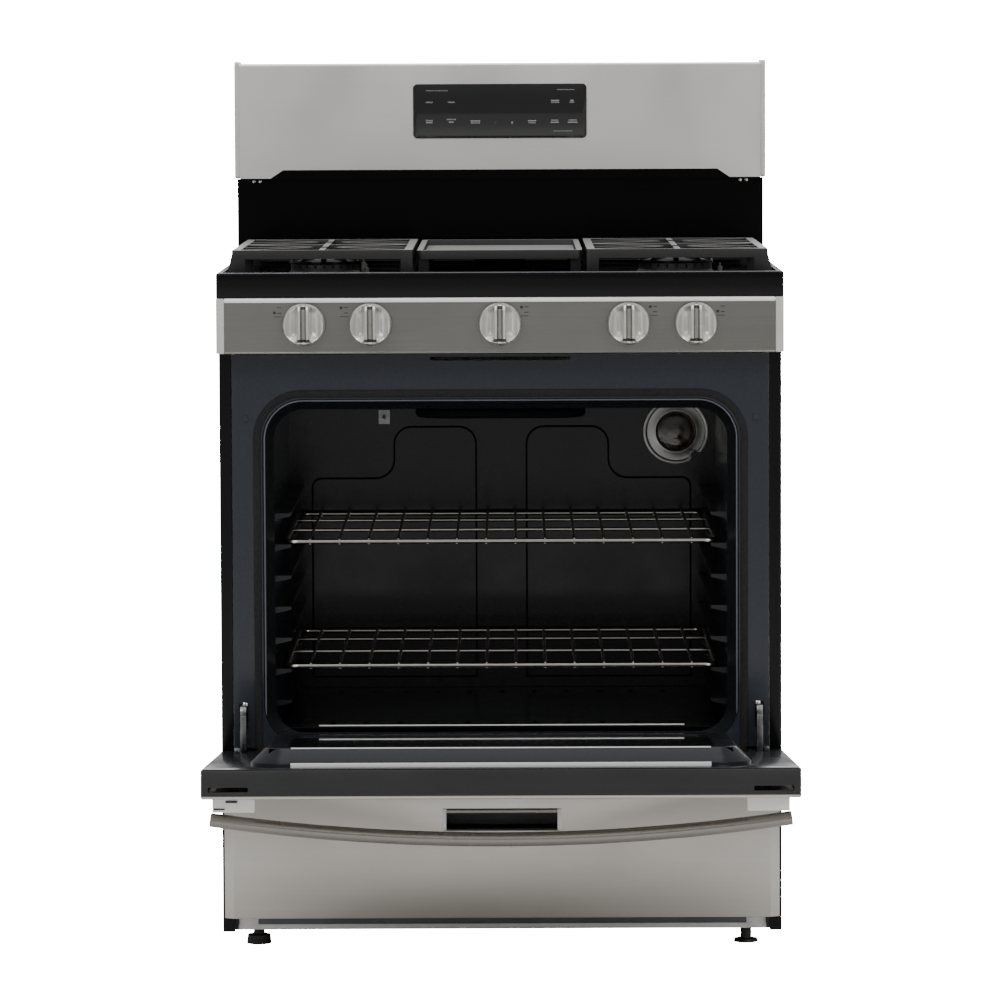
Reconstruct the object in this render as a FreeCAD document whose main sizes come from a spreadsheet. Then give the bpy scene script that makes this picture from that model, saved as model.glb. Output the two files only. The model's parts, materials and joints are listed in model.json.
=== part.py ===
import FreeCAD, Part

import math
import os

import Sketcher
from FreeCAD import Placement, Rotation, Vector

# A freestanding 30 inch gas range: oven door open, racks in, five burners, storage drawer.
# Millimetres. +Z is up, +X is to the right of a person in front, +Y goes to the wall behind.
# The origin is on the floor, under the middle of the outline with the door open.

doc = FreeCAD.newDocument("gas_range")
sheet = doc.addObject("Spreadsheet::Sheet", "Sizes")


# ---------------------------------------------------------------- sizes

class Dim:
    """A size that carries its number and its expression on the sheet."""

    def __init__(self, value, text):
        self.value = float(value)
        self.text = text

    def __add__(self, other):
        other = dim(other)
        return Dim(self.value + other.value, f"({self.text} + {other.text})")

    def __sub__(self, other):
        other = dim(other)
        return Dim(self.value - other.value, f"({self.text} - {other.text})")

    def __mul__(self, other):
        other = dim(other)
        return Dim(self.value * other.value, f"({self.text} * {other.text})")

    def __truediv__(self, other):
        other = dim(other)
        return Dim(self.value / other.value, f"({self.text} / {other.text})")

    def __neg__(self):
        return Dim(-self.value, f"(0 - {self.text})")

    def __radd__(self, other):
        return dim(other) + self

    def __rsub__(self, other):
        return dim(other) - self

    def __rmul__(self, other):
        return dim(other) * self


def dim(value):
    if isinstance(value, Dim):
        return value
    return Dim(value, f"({float(value):.6f})")


row = 0


def size(alias, value, note):
    """Write one driving size on the sheet and give it back as a Dim."""
    global row
    row += 1
    sheet.set(f"A{row}", note)
    sheet.set(f"B{row}", str(value))
    sheet.setAlias(f"B{row}", alias)
    return Dim(value, f"Sizes.{alias}")


STEEL = size("steel", 1.2, "thickness of the sheet steel")
GAP = size("gap", 0.5, "gap between pieces that stay apart")
FIT = size("running_fit", 0.3, "radial clearance of a shaft in its bore")

WIDTH = size("range_width", 759, "width over cooktop, control panel and backguard")
BODY_INSET = size("body_inset", 1.5, "side panel inside the cooktop's edge")
BODY_WIDTH = WIDTH - BODY_INSET * 2
DEPTH = size("body_depth", 660, "depth from control panel face to the back")
FACE = size("face_y", -84, "control panel face, from the origin")
FACE_SETBACK = size("face_setback", 42, "body front behind the control panel face")
UNDERSIDE = size("underside", 21, "floor to the bottom edge of the side panels")
COOKTOP_TOP = size("cooktop_top", 914, "floor to the cooktop rim")
BACKGUARD_TOP = size("backguard_top", 1193, "floor to the top of the backguard")
REAR_RECESS = size("rear_recess", 30, "rear panel in front of the back edge")

PANEL_TALL = size("panel_tall", 74, "height of the control panel face")
COOKTOP_BAND = size("cooktop_band", 34, "height of the front band of the cooktop")
CAP_WIDTH = size("cap_width", 11, "width of a control panel end cap")

CAVITY_WIDTH = size("cavity_width", 611, "inside width of the oven")
CAVITY_TOP = size("cavity_top", 728, "floor to the ceiling of the oven")
CAVITY_FLOOR = size("cavity_floor", 268, "floor to the bottom of the oven liner")
BEHIND_OVEN = size("behind_oven", 55, "room between the oven's back wall and the rear panel")
CAVITY_DEPTH = DEPTH - FACE_SETBACK - REAR_RECESS - BEHIND_OVEN
CAVITY_RADIUS = size("cavity_radius", 40, "corner radius of the oven")
SILL = size("sill", 290, "floor to the sill of the oven mouth")
MOUTH_FLARE = size("mouth_flare", 15, "how far the mouth flares out at the front")
MOUTH_DEEP = size("mouth_deep", 22, "depth of the flared mouth")
FRAME_INSET = size("frame_inset", 17, "side panel's face to the edge of the face frame")
FRAME_WIDTH = BODY_WIDTH - FRAME_INSET * 2
FRAME_BOTTOM = size("frame_bottom", 271.5, "floor to the bottom of the face frame")
FRAME_TOP = size("frame_top", 803, "floor to the top of the face frame")
GASKET = size("gasket", 10, "width of the door gasket")
GASKET_THICK = size("gasket_thick", 3, "thickness of the door gasket")

RACK_SIDE = size("rack_side", 11.5, "room between a rack and the wall of the oven")
RACK_BEHIND = size("rack_behind", 48, "oven depth that a rack leaves free")
RACK_WIDTH = CAVITY_WIDTH - RACK_SIDE * 2
RACK_DEPTH = CAVITY_DEPTH - RACK_BEHIND
RACK_LOW = size("rack_low", 379, "floor to the lower rack")
RACK_PITCH = size("rack_pitch", 42.25, "pitch of the rack positions")
RAIL_WIRE = size("rail_wire", 3.2, "radius of a rack rail")
RACK_WIRE = size("rack_wire", 2, "radius of a rack wire")

DOOR_INSET = size("door_inset", 0, "side panel's face to the edge of the door")
DOOR_WIDTH = BODY_WIDTH - DOOR_INSET * 2
DOOR_THICK = size("door_thick", 38, "thickness of the oven door")
DOOR_TOP = size("door_top", 778, "floor to the top of the closed door")
DOOR_BOTTOM = size("door_bottom", 249, "floor to the bottom of the closed door")
DOOR_SWING = size("door_swing", 85.75, "angle of the open door from closed")
HINGE_BACK = size("hinge_back", 10, "hinge axis in front of the door's inner face")
HINGE_Z = size("hinge_z", 258.9, "floor to the hinge axis")
PLUG_TALL = size("plug_tall", 24, "height of the raised panel inside the door")
SKIN = size("skin", 4, "depth of the visible steel edge of the door")

HINGE_IN = size("hinge_in", 30, "side panel's face to a door hinge")
HINGE_X = BODY_WIDTH / 2 - HINGE_IN
WINDOW_X = size("window_x", 240, "half width of the outer window")
WINDOW_LOW = size("window_low", 430, "floor to the bottom of the outer window")
WINDOW_HIGH = size("window_high", 650, "floor to the top of the outer window")
INNER_WINDOW_IN = size("inner_window_in", 31.5, "oven wall to the edge of the inner window")
INNER_WINDOW_X = CAVITY_WIDTH / 2 - INNER_WINDOW_IN
INNER_WINDOW_LOW = size("inner_window_low", 350, "floor to the bottom of the inner window")
INNER_WINDOW_HIGH = size("inner_window_high", 680, "floor to the top of the inner window")

HANDLE_SHORT = size("handle_short", 9.5, "door's edge to the end of the handle")
HANDLE_LONG = DOOR_WIDTH - HANDLE_SHORT * 2
HANDLE_DROP = size("handle_drop", 52, "handle below the top of the door")
HANDLE_END = size("handle_end", 28, "handle centre in front of the door at its ends")
HANDLE_MID = size("handle_mid", 54, "handle centre in front of the door in the middle")
HANDLE_THICK = size("handle_thick", 18, "section of the handle, away from the door")
HANDLE_TALL = size("handle_tall", 26, "section of the handle, along the door")

DRAWER_INSET = size("drawer_inset", 4.5, "side panel's face to the edge of the drawer front")
DRAWER_WIDTH = BODY_WIDTH - DRAWER_INSET * 2
DRAWER_BOTTOM = size("drawer_bottom", 45, "floor to the bottom of the drawer front")
DRAWER_TOP = size("drawer_top", 225, "floor to the top of the drawer front")
DRAWER_THICK = size("drawer_thick", 20, "thickness of the drawer front")
DRAWER_BEHIND = size("drawer_behind", 80, "room behind the drawer box, to the rear panel")
DRAWER_DEEP = DEPTH - DRAWER_THICK - REAR_RECESS - DRAWER_BEHIND
PULL_WIDTH = size("pull_width", 158, "width of the drawer pull")
PULL_LOW = size("pull_low", 163.5, "floor to the bottom of the drawer pull")
PULL_HIGH = size("pull_high", 193, "floor to the top of the drawer pull")

KNOB_R = size("knob_radius", 28.5, "radius of a burner knob")
KNOB_Z = size("knob_z", 845, "floor to the knob axes")
KNOB_TRAVEL = size("knob_travel", 3, "push of a knob before it turns")
STEM_R = size("stem_radius", 4, "radius of a valve stem")
LEG_IN = size("leg_in", 47, "side panel's face to the axis of a leg")
LEG_X = BODY_WIDTH / 2 - LEG_IN
FOOT_R = size("foot_radius", 17, "radius of a foot")
GRATE_TOP = size("grate_top", 943, "floor to the top of the grates")
BAR = size("grate_bar", 12, "height of a grate bar")
GRIDDLE_WIDTH = size("griddle_width", 222, "width of the middle griddle")
GAS_PIPE_R = size("gas_pipe_radius", 10.65, "radius of the gas inlet")

CLOCK_WIDTH = size("clock_width", 248, "width of the clock panel")
CLOCK_LOW = size("clock_low", 1085.5, "floor to the bottom of the clock panel")
CLOCK_HIGH = size("clock_high", 1163, "floor to the top of the clock panel")
BACKGUARD_LOW = size("backguard_low", 1041, "floor to the bottom of the steel backguard")
BACKGUARD_DEEP = size("backguard_deep", 100, "backguard face in front of the back edge")
BACKGUARD_Y = DEPTH - BACKGUARD_DEEP

BODY_FRONT = FACE + FACE_SETBACK
BACK = FACE + DEPTH
REAR = BACK - REAR_RECESS
PANEL_TOP = COOKTOP_TOP - COOKTOP_BAND
PANEL_BOTTOM = PANEL_TOP - PANEL_TALL
CAVITY_BACK = BODY_FRONT + CAVITY_DEPTH
DOOR_INNER = FACE + DOOR_THICK
HINGE_Y = DOOR_INNER - HINGE_BACK
TRAY = COOKTOP_TOP - 9
GUARD_FACE = FACE + BACKGUARD_Y
# Pressed outline of the oven's back wall: three distances from the middle, three heights.
EMBOSS_IN = 32.5
EMBOSS_STEP_IN = 150.5
EMBOSS = (35, CAVITY_WIDTH / 2 - EMBOSS_STEP_IN, CAVITY_WIDTH / 2 - EMBOSS_IN)
EMBOSS_LEVELS = (310, 599, 673)
LAMP_IN = 54.5
LAMP = (CAVITY_WIDTH / 2 - LAMP_IN, 664)
# Backguard: thickness of an end cap, and how far the face dips at each end.
END_CAP = 7
DIP = 12
SCREW_R = 2
# Spark electrodes: radius of the sleeve, and how far outside its burner head it stands.
SPARK_R = 3.5
SPARK_OUT = 11
NOZZLE_R = 5
# Oven burners: half width and tube radius of the bake burner and of the broil burner.
BAKE_X, BAKE_R = -40, 8
BROIL_X, BROIL_R = -110, 7
WINDOW_Z = (WINDOW_LOW, WINDOW_HIGH)
INNER_WINDOW_Z = (INNER_WINDOW_LOW, INNER_WINDOW_HIGH)
KNOB_SPOTS = {
    "left_front": -262,
    "left_rear": -173,
    "centre": 0,
    "right_rear": 172,
    "right_front": 262,
}
# Grates: room beside the griddle and inside the cooktop's edge; front edge of the grates.
GRATE_BESIDE = 6
GRATE_IN = 20
GRATE_FRONT = FACE + 42
GRATE_BACK = BACK - 132
GRATE_INNER = GRIDDLE_WIDTH / 2 + GRATE_BESIDE
GRATE_OUTER = WIDTH / 2 - GRATE_IN
BURNER_X = (GRATE_INNER + GRATE_OUTER) / 2 + 0.75
# Burners: x, distance behind the control panel face, head radius.
BURNERS = {
    "left_front": (-BURNER_X, 170, 46),
    "left_rear": (-BURNER_X, 400, 36),
    "centre": (0, 285, 34),
    "right_rear": (BURNER_X, 400, 30),
    "right_front": (BURNER_X, 170, 50),
}

doc.recompute()
nodes = []


# ---------------------------------------------------------------- makers

def bind(item, prop, value):
    item.setExpression(prop, dim(value).text)


def node(item, name):
    """Name an object as a sub-part; the name is also the file it is written to."""
    item.Label = name
    nodes.append(item)
    return item


def block(x, y, z):
    """A box between two values on each axis."""
    item = doc.addObject("Part::Box", "Block")
    for prop, side, span in (("Length", "x", x), ("Width", "y", y), ("Height", "z", z)):
        bind(item, prop, dim(span[1]) - span[0])
        bind(item, f"Placement.Base.{side}", span[0])
    return item


TURNS = {"x": Rotation(Vector(0, 1, 0), 90), "y": Rotation(Vector(1, 0, 0), -90), "z": Rotation()}


def rod(axis, radius, start, end, centre):
    """A cylinder along an axis from start to end, at a centre given by the two other axes."""
    item = doc.addObject("Part::Cylinder", "Rod")
    bind(item, "Radius", radius)
    bind(item, "Height", dim(end) - start)
    item.Placement = Placement(Vector(), TURNS[axis])
    others = [side for side in "xyz" if side != axis]
    bind(item, f"Placement.Base.{axis}", start)
    for side, value in zip(others, centre):
        bind(item, f"Placement.Base.{side}", value)
    return item


def cone(low_radius, high_radius, low, high, x, y):
    item = doc.addObject("Part::Cone", "Cone")
    bind(item, "Radius1", low_radius)
    bind(item, "Radius2", high_radius)
    bind(item, "Height", dim(high) - low)
    for side, value in (("x", x), ("y", y), ("z", low)):
        bind(item, f"Placement.Base.{side}", value)
    return item


def fuse(items):
    item = doc.addObject("Part::MultiFuse", "Fuse")
    item.Shapes = items
    item.Refine = True
    return item


def cut(base, tools):
    item = doc.addObject("Part::Cut", "Cut")
    item.Base = base
    item.Tool = tools[0] if len(tools) == 1 else fuse(tools)
    return item


def group(items):
    """Separate solids that share one node."""
    item = doc.addObject("Part::Compound", "Group")
    item.Links = items
    return item


def body():
    return doc.addObject("PartDesign::Body", "Body")


def origin_plane(owner, role):
    return [item for item in owner.Origin.OriginFeatures if item.Role == role][0]


def outline(owner, plane, points, offset, circles=(), radius=None):
    """A sketch with one closed outline and round holes, fixed by the sheet.

    The sides are straight. A radius rounds every square corner, and a list gives each corner its own.
    """
    sketch = owner.newObject("Sketcher::SketchObject", "Outline")
    sketch.AttachmentSupport = [(origin_plane(owner, plane), "")]
    sketch.MapMode = "FlatFace"
    bind(sketch, "AttachmentOffset.Base.z", offset)
    spots = [(dim(a), dim(b)) for a, b in points]
    count = len(spots)
    radii = radius if isinstance(radius, list) else [radius] * count
    flat = [Vector(a.value, b.value, 0) for a, b in spots]
    turns = []
    for index, (a, b) in enumerate(spots):
        if radii[index] is None:
            turns.append((None, (a, b), (a, b)))
            continue
        bend = dim(radii[index])
        arrive = (flat[index] - flat[index - 1]).normalize()
        leave = (flat[(index + 1) % count] - flat[index]).normalize()
        first = (a - bend * arrive.x, b - bend * arrive.y)
        last = (a + bend * leave.x, b + bend * leave.y)
        centre = flat[index] + (leave - arrive) * bend.value
        turns.append(((bend, centre, arrive.cross(leave).z > 0), first, last))
    lines = []
    for index in range(count):
        start = turns[index][2]
        end = turns[(index + 1) % count][1]
        ends = [Vector(a.value, b.value, 0) for a, b in (start[:2], end[:2])]
        run = Part.LineSegment(*ends)
        lines.append(sketch.addGeometry(run))
    for index, (bent, first, last) in enumerate(turns):
        into, out = lines[index - 1], lines[index]
        if bent is None:
            sketch.addConstraint(Sketcher.Constraint("Coincident", into, 2, out, 1))
            hold(sketch, out, 1, *first)
            continue
        bend, centre, left = bent
        ends = [Vector(spot[0].value, spot[1].value, 0) - centre for spot in (first, last)]
        if not left:
            ends.reverse()
        circle = Part.Circle(centre, Vector(0, 0, 1), bend.value)
        angles = [math.atan2(end.y, end.x) for end in ends]
        arc = sketch.addGeometry(Part.ArcOfCircle(circle, angles[0], angles[1]))
        joins = (1, 2) if left else (2, 1)
        sketch.addConstraint(Sketcher.Constraint("Coincident", into, 2, arc, joins[0]))
        sketch.addConstraint(Sketcher.Constraint("Coincident", arc, joins[1], out, 1))
        hold(sketch, into, 2, *first)
        hold(sketch, out, 1, *last)
        number = sketch.addConstraint(Sketcher.Constraint("Radius", arc, bend.value))
        sketch.setExpression(f"Constraints[{number}]", bend.text)
    for a, b, size_of_hole in circles:
        a, b, hole = dim(a), dim(b), dim(size_of_hole)
        index = sketch.addGeometry(Part.Circle(Vector(a.value, b.value, 0), Vector(0, 0, 1), hole.value))
        hold(sketch, index, 3, a, b)
        number = sketch.addConstraint(Sketcher.Constraint("Radius", index, hole.value))
        sketch.setExpression(f"Constraints[{number}]", hole.text)
    return sketch


def hold(sketch, index, point, across, up):
    """Fix one point of the sketch at its distances from the sketch's origin."""
    for kind, value in (("DistanceX", across), ("DistanceY", up)):
        number = sketch.addConstraint(Sketcher.Constraint(kind, -1, 1, index, point, value.value))
        sketch.setExpression(f"Constraints[{number}]", value.text)


def pad(owner, plane, points, low, high, radius=None):
    """Fill an outline between two values on the axis across its plane."""
    start = -dim(high) if plane == "XZ_Plane" else dim(low)
    sketch = outline(owner, plane, points, start, radius=radius)
    feature = owner.newObject("PartDesign::Pad", "Pad")
    feature.Profile = sketch
    bind(feature, "Length", dim(high) - low)
    doc.recompute()
    settled(sketch, feature)
    return feature


def taper(owner, kind, near, far):
    """Add or take away a straight-sided loft; each end is its outline, its y and its corner radius."""
    ends = []
    for points, y, radius in (near, far):
        ends.append(outline(owner, "XZ_Plane", points, -dim(y), radius=radius))
    feature = owner.newObject(f"PartDesign::{kind}", kind)
    feature.Profile = ends[0]
    feature.Sections = [ends[1]]
    feature.Ruled = True
    doc.recompute()
    settled(feature)
    return feature


def settled(*items):
    """Stop at the first object whose recompute failed."""
    for item in items:
        if "Invalid" in item.State or "Error" in item.State:
            raise RuntimeError(f"{item.Name} failed: {item.State}")


def pocket(owner, plane, points, low, high, radius=None, circles=()):
    """Cut an outline between two values on the axis across its plane."""
    before = owner.Shape.Volume
    start = -dim(low) if plane == "XZ_Plane" else dim(high)
    sketch = outline(owner, plane, points, start, circles, radius)
    feature = owner.newObject("PartDesign::Pocket", "Pocket")
    feature.Profile = sketch
    bind(feature, "Length", dim(high) - low)
    doc.recompute()
    if owner.Shape.Volume > before - 1:
        raise RuntimeError(f"a pocket cut nothing from {owner.Name}")
    return feature


def oblong(x, z):
    """The four corners of a rectangle, from its two spans."""
    return [(x[0], z[0]), (x[1], z[0]), (x[1], z[1]), (x[0], z[1])]


def edges(shape, test):
    """Names of the edges whose two ends and middle point pass a test."""
    names = []
    for number, edge in enumerate(shape.Edges, 1):
        middle = edge.valueAt((edge.FirstParameter + edge.LastParameter) / 2)
        ends = [vertex.Point for vertex in edge.Vertexes]
        if len(ends) == 2 and test(ends[0], ends[1], middle):
            names.append(f"Edge{number}")
    return names


def along(axis):
    """A test for straight edges that run along one axis."""
    def test(start, end, middle):
        run = end - start
        spans = {"x": run.x, "y": run.y, "z": run.z}
        return abs(spans[axis]) > run.Length - 1e-6 and run.Length > 1e-3
    return test


def both(*tests):
    return lambda a, b, m: all(test(a, b, m) for test in tests)


def on_plane(axis, value):
    """A test for edges that lie whole in the plane at one value on an axis."""
    level = dim(value).value
    return lambda a, b, m: all(abs(getattr(p, axis) - level) < 1e-4 for p in (a, b, m))


def dress(owner, kind, test, amount):
    """A Fillet or Chamfer on the edges of the body that pass a test."""
    base = owner.Tip
    names = edges(base.Shape, test)
    if not names:
        raise RuntimeError(f"no edge to {kind} on {owner.Name}")
    feature = owner.newObject(f"PartDesign::{kind}", kind)
    feature.Base = (base, names)
    bind(feature, "Radius" if kind == "Fillet" else "Size", amount)
    doc.recompute()
    settled(feature)
    return feature


def shaped(shape):
    """A Part::Feature for a shape that the workbenches' own features don't make."""
    item = doc.addObject("Part::Feature", "Shaped")
    item.Shape = shape
    return item


def tube(points, radius, bend):
    """A round bar along straight runs with a bend at each inner point."""
    spots = [Vector(*point) for point in points]
    path = []
    start = spots[0]
    for before, corner, after in zip(spots, spots[1:], spots[2:]):
        arrive = (corner - before).normalize()
        leave = (after - corner).normalize()
        half = math.acos(max(-1.0, min(1.0, arrive.dot(leave)))) / 2
        reach = bend * math.tan(half)
        first = corner - arrive * reach
        last = corner + leave * reach
        inward = (leave - arrive).normalize()
        centre = corner + inward * (bend / math.cos(half))
        path.append(Part.LineSegment(start, first).toShape())
        path.append(Part.Arc(first, centre - inward * bend, last).toShape())
        start = last
    path.append(Part.LineSegment(start, spots[-1]).toShape())
    direction = (spots[1] - spots[0]).normalize()
    ring = Part.Wire(Part.makeCircle(radius, spots[0], direction))
    return Part.Wire(path).makePipeShell([ring], True, False)


def on_door(item):
    """Turn a piece of the closed door to its open place, about the hinge axis."""
    turn = f"rotation(vector(1; 0; 0); {DOOR_SWING.text})"
    centre = f"vector(0; {HINGE_Y.text}; {HINGE_Z.text})"
    item.setExpression("Placement", f"placement(vector(0; 0; 0); {turn}; {centre})")
    return item


SIDES = {"left": -1, "right": 1}


def span(side, inner, outer):
    """A span on X at one side of the middle, lowest value first."""
    return (dim(inner), dim(outer)) if side > 0 else (-dim(outer), -dim(inner))


# ---------------------------------------------------------------- cabinet

def side_panel(name, side):
    """A bent side sheet: a return with a lip at the front, and one at the back."""
    half = BODY_WIDTH / 2
    lip = 16
    fold = 14
    points = [
        (half, BODY_FRONT),
        (half, BACK),
        (half - fold, BACK),
        (half - fold, BACK - STEEL),
        (half - STEEL, BACK - STEEL),
        (half - STEEL, BODY_FRONT + STEEL),
        (half - lip + STEEL, BODY_FRONT + STEEL),
        (half - lip + STEEL, BODY_FRONT + fold),
        (half - lip, BODY_FRONT + fold),
        (half - lip, BODY_FRONT),
    ]
    panel = body()
    pad(panel, "XY_Plane", [(x * side, y) for x, y in points], UNDERSIDE, PANEL_TOP - GAP)
    corner = (half * side).value
    dress(panel, "Fillet", both(along("z"), on_plane("x", corner)), STEEL * 0.8)
    return node(panel, name)


def rear_panel():
    """The galvanised back, with two rows of cooling louvres and the gas pipe's way in."""
    half = BODY_WIDTH / 2 - 15
    plate = block((-half, half), (REAR - STEEL, REAR), (UNDERSIDE + 20, PANEL_TOP - GAP))
    slots = []
    for level in (PANEL_TOP - 60, PANEL_TOP - 90):
        for number in range(-4, 5):
            middle = number * 70
            slots.append(block((middle - 25, middle + 25), (REAR - 5, REAR + 5), (level, level + 8)))
    way = rod("y", GAS_PIPE_R + 8, REAR - 5, REAR + 5, (dim(270), dim(90)))
    holes = [rod("y", SCREW_R + FIT, REAR - 5, REAR + 5, spot) for spot in screw_spots()]
    return node(cut(plate, slots + [way] + holes), "rear_panel")


def base_frame():
    """A channel ring under the cabinet, with a corner plate over each leg."""
    half = BODY_WIDTH / 2 - STEEL - 1
    front = BODY_FRONT + 16
    low = UNDERSIDE + 0.5
    tall = 22
    rail = 26
    front_rail = fuse([
        block((-half, half), (front, front + 1.5), (low, low + tall)),
        block((-half, half), (front, front + rail), (low, low + 1.5)),
    ])
    back = REAR - 6
    rear_rail = fuse([
        block((-half, half), (back - 1.5, back), (low, low + tall)),
        block((-half, half), (back - rail, back), (low, low + 1.5)),
    ])
    rails = [front_rail, rear_rail]
    for side in SIDES.values():
        x = span(side, half - rail, half)
        wall = span(side, half - 1.5, half)
        rails.append(block(x, (front, back), (low, low + 1.5)))
        rails.append(block(wall, (front, back), (low, low + tall)))
    holes = []
    for side in SIDES.values():
        for y in (front + 22, back - 22):
            x = span(side, LEG_X - 24, half - 1)
            rails.append(block(x, (y - 20, y + 20), (low, low + 3)))
            bore = STEM_R + FIT + 1
            holes.append(rod("z", bore, low - 5, low + 10, (LEG_X * side, y)))
    return node(cut(fuse(rails), holes), "base_frame")


def leg(name, side, at_back, foot_tall):
    """A levelling leg: a foot, its neck and the threaded rod up through the corner plate."""
    back = REAR - 6 - 22
    front = BODY_FRONT + 16 + 22
    y = back if at_back else front
    x = LEG_X * side
    foot = fuse([
        cone(FOOT_R, FOOT_R - 1.5, 0, foot_tall, x, y),
        rod("z", 7.5, 0, UNDERSIDE - 1, (x, y)),
        rod("z", STEM_R + 1, 0, UNDERSIDE + 26, (x, y)),
    ])
    return node(foot, name)


def face_frame():
    """The enamelled front of the oven, with its mouth, the hinge slots and the latch slot."""
    half = FRAME_WIDTH / 2
    mouth = CAVITY_WIDTH / 2 + MOUTH_FLARE
    frame = body()
    pad(frame, "XZ_Plane", oblong((-half, half), (FRAME_BOTTOM, FRAME_TOP)), BODY_FRONT, BODY_FRONT + 1.5)
    way = oblong((-mouth, mouth), (SILL - MOUTH_FLARE, CAVITY_TOP + MOUTH_FLARE))
    pocket(frame, "XZ_Plane", way, BODY_FRONT, BODY_FRONT + 1.5, CAVITY_RADIUS + MOUTH_FLARE)
    pocket(frame, "XZ_Plane", oblong((-94, 94), (FRAME_TOP - 9, FRAME_TOP - 4)), BODY_FRONT, BODY_FRONT + 1.5)
    for side in SIDES.values():
        slot = oblong(span(side, HINGE_X - 6, HINGE_X + 6), (HINGE_Z + 39, HINGE_Z + 73))
        pocket(frame, "XZ_Plane", slot, BODY_FRONT, BODY_FRONT + 1.5)
    return node(frame, "face_frame")


def burner_ways():
    """Where the tubes of the bake and the broil burner pass the back wall, and their radii."""
    return [(BAKE_X, CAVITY_FLOOR + 12, BAKE_R), (BROIL_X, CAVITY_TOP - 13, BROIL_R)]


def oven_liner():
    """The enamelled box of the oven: flared mouth, rack ribs and the pressed back wall."""
    half = CAVITY_WIDTH / 2
    wall = STEEL
    mouth_back = BODY_FRONT + MOUTH_DEEP
    liner = body()
    outer = oblong((-half - wall, half + wall), (CAVITY_FLOOR - wall, CAVITY_TOP + wall))
    pad(liner, "XZ_Plane", outer, mouth_back, CAVITY_BACK + wall, CAVITY_RADIUS + wall)
    inner = oblong((-half, half), (CAVITY_FLOOR, CAVITY_TOP))
    pocket(liner, "XZ_Plane", inner, mouth_back, CAVITY_BACK, CAVITY_RADIUS)

    reach = half + MOUTH_FLARE + wall
    flared = CAVITY_RADIUS + MOUTH_FLARE
    collar = oblong((-reach, reach), (FRAME_BOTTOM, CAVITY_TOP + MOUTH_FLARE + wall))
    front = BODY_FRONT + 1.5
    pad(liner, "XZ_Plane", collar, front, mouth_back, [None, None, flared, flared])
    mouth = oblong((-half, half), (SILL, CAVITY_TOP))
    pocket(liner, "XZ_Plane", mouth, front, mouth_back, CAVITY_RADIUS)
    wide = half + MOUTH_FLARE
    flare = oblong((-wide, wide), (SILL - MOUTH_FLARE, CAVITY_TOP + MOUTH_FLARE))
    taper(liner, "SubtractiveLoft", (flare, front, flared), (mouth, mouth_back - 2, CAVITY_RADIUS))

    rib_front = mouth_back + 8
    rib_back = CAVITY_BACK - 12
    grip = half - RACK_WIDTH / 2 + 10
    for side in SIDES.values():
        for number in range(-1, 6):
            level = RACK_LOW + RACK_PITCH * number - RAIL_WIRE - 0.4
            edge = (half - grip) * side
            foot = (half + wall / 2) * side
            points = [(foot, level - 9), (edge, level - 4), (edge, level), (foot, level)]
            pad(liner, "XZ_Plane", points, rib_front, rib_back)

    raised = 4
    inner_x, step_x, outer_x = EMBOSS
    low, step_z, high = EMBOSS_LEVELS
    for side in SIDES.values():
        points = [
            (inner_x, low),
            (inner_x, high),
            (step_x, high),
            (step_x, step_z),
            (outer_x, step_z),
            (outer_x, low),
        ]
        base = CAVITY_BACK - raised
        curves = [None, 26, 26, 26, 14, None]
        pad(liner, "XZ_Plane", [(x * side, z) for x, z in points], base, CAVITY_BACK + wall / 2, curves)
        face_edges = both(on_plane("y", base), lambda a, b, m: m.x * side > 0)
        dress(liner, "Chamfer", face_edges, 2.5)

    lamp_x, lamp_z = LAMP
    hole = oblong((lamp_x - 18, lamp_x + 18), (dim(lamp_z) - 18, dim(lamp_z) + 18))
    pocket(liner, "XZ_Plane", hole, CAVITY_BACK - 1, CAVITY_BACK + wall)
    for x, z, radius in burner_ways():
        pocket(liner, "XZ_Plane", [], CAVITY_BACK - 1, CAVITY_BACK + wall, circles=[(x, z, radius + FIT)])
    return node(liner, "oven_liner")


def door_gasket():
    """The seal around the oven mouth, on the face frame."""
    inner = CAVITY_WIDTH / 2 + MOUTH_FLARE + 2
    high = CAVITY_TOP + MOUTH_FLARE + 2
    ring = body()
    outer = oblong((-inner - GASKET, inner + GASKET), (FRAME_BOTTOM, high + GASKET))
    bend = CAVITY_RADIUS + MOUTH_FLARE
    y = (BODY_FRONT - GASKET_THICK, BODY_FRONT)
    pad(ring, "XZ_Plane", outer, y[0], y[1], [None, None, bend + GASKET, bend + GASKET])
    room = oblong((-inner, inner), (FRAME_BOTTOM - 1, high))
    pocket(ring, "XZ_Plane", room, y[0], y[1], [None, None, bend, bend])
    return node(ring, "door_gasket")


def door_bumpers():
    """Two soft stops that the closed door rests on."""
    items = []
    for side in SIDES.values():
        start = BODY_FRONT - GASKET_THICK
        items.append(rod("y", 3.5, start, BODY_FRONT, (343 * side, dim(717))))
    return node(group(items), "door_bumpers")


def oven_insulation():
    """The blanket between the oven box and the cabinet."""
    half = CAVITY_WIDTH / 2 + STEEL + 1
    thick = 24
    y = (BODY_FRONT + MOUTH_DEEP + 4, CAVITY_BACK + thick)
    low = CAVITY_FLOOR - STEEL - 1
    high = CAVITY_TOP + STEEL + 1
    blanket = block((-half - thick, half + thick), y, (low - thick, high + thick))
    room = block((-half, half), (y[0] - 1, CAVITY_BACK + STEEL + 1), (low, high))
    behind = (CAVITY_BACK, CAVITY_BACK + thick + 1)
    ways = [rod("y", radius + FIT, behind[0], behind[1], (dim(x), z)) for x, z, radius in burner_ways()]
    lamp_way = rod("y", 15.5, behind[0], behind[1], LAMP)
    return node(cut(blanket, [room, lamp_way] + ways), "oven_insulation")


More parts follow.
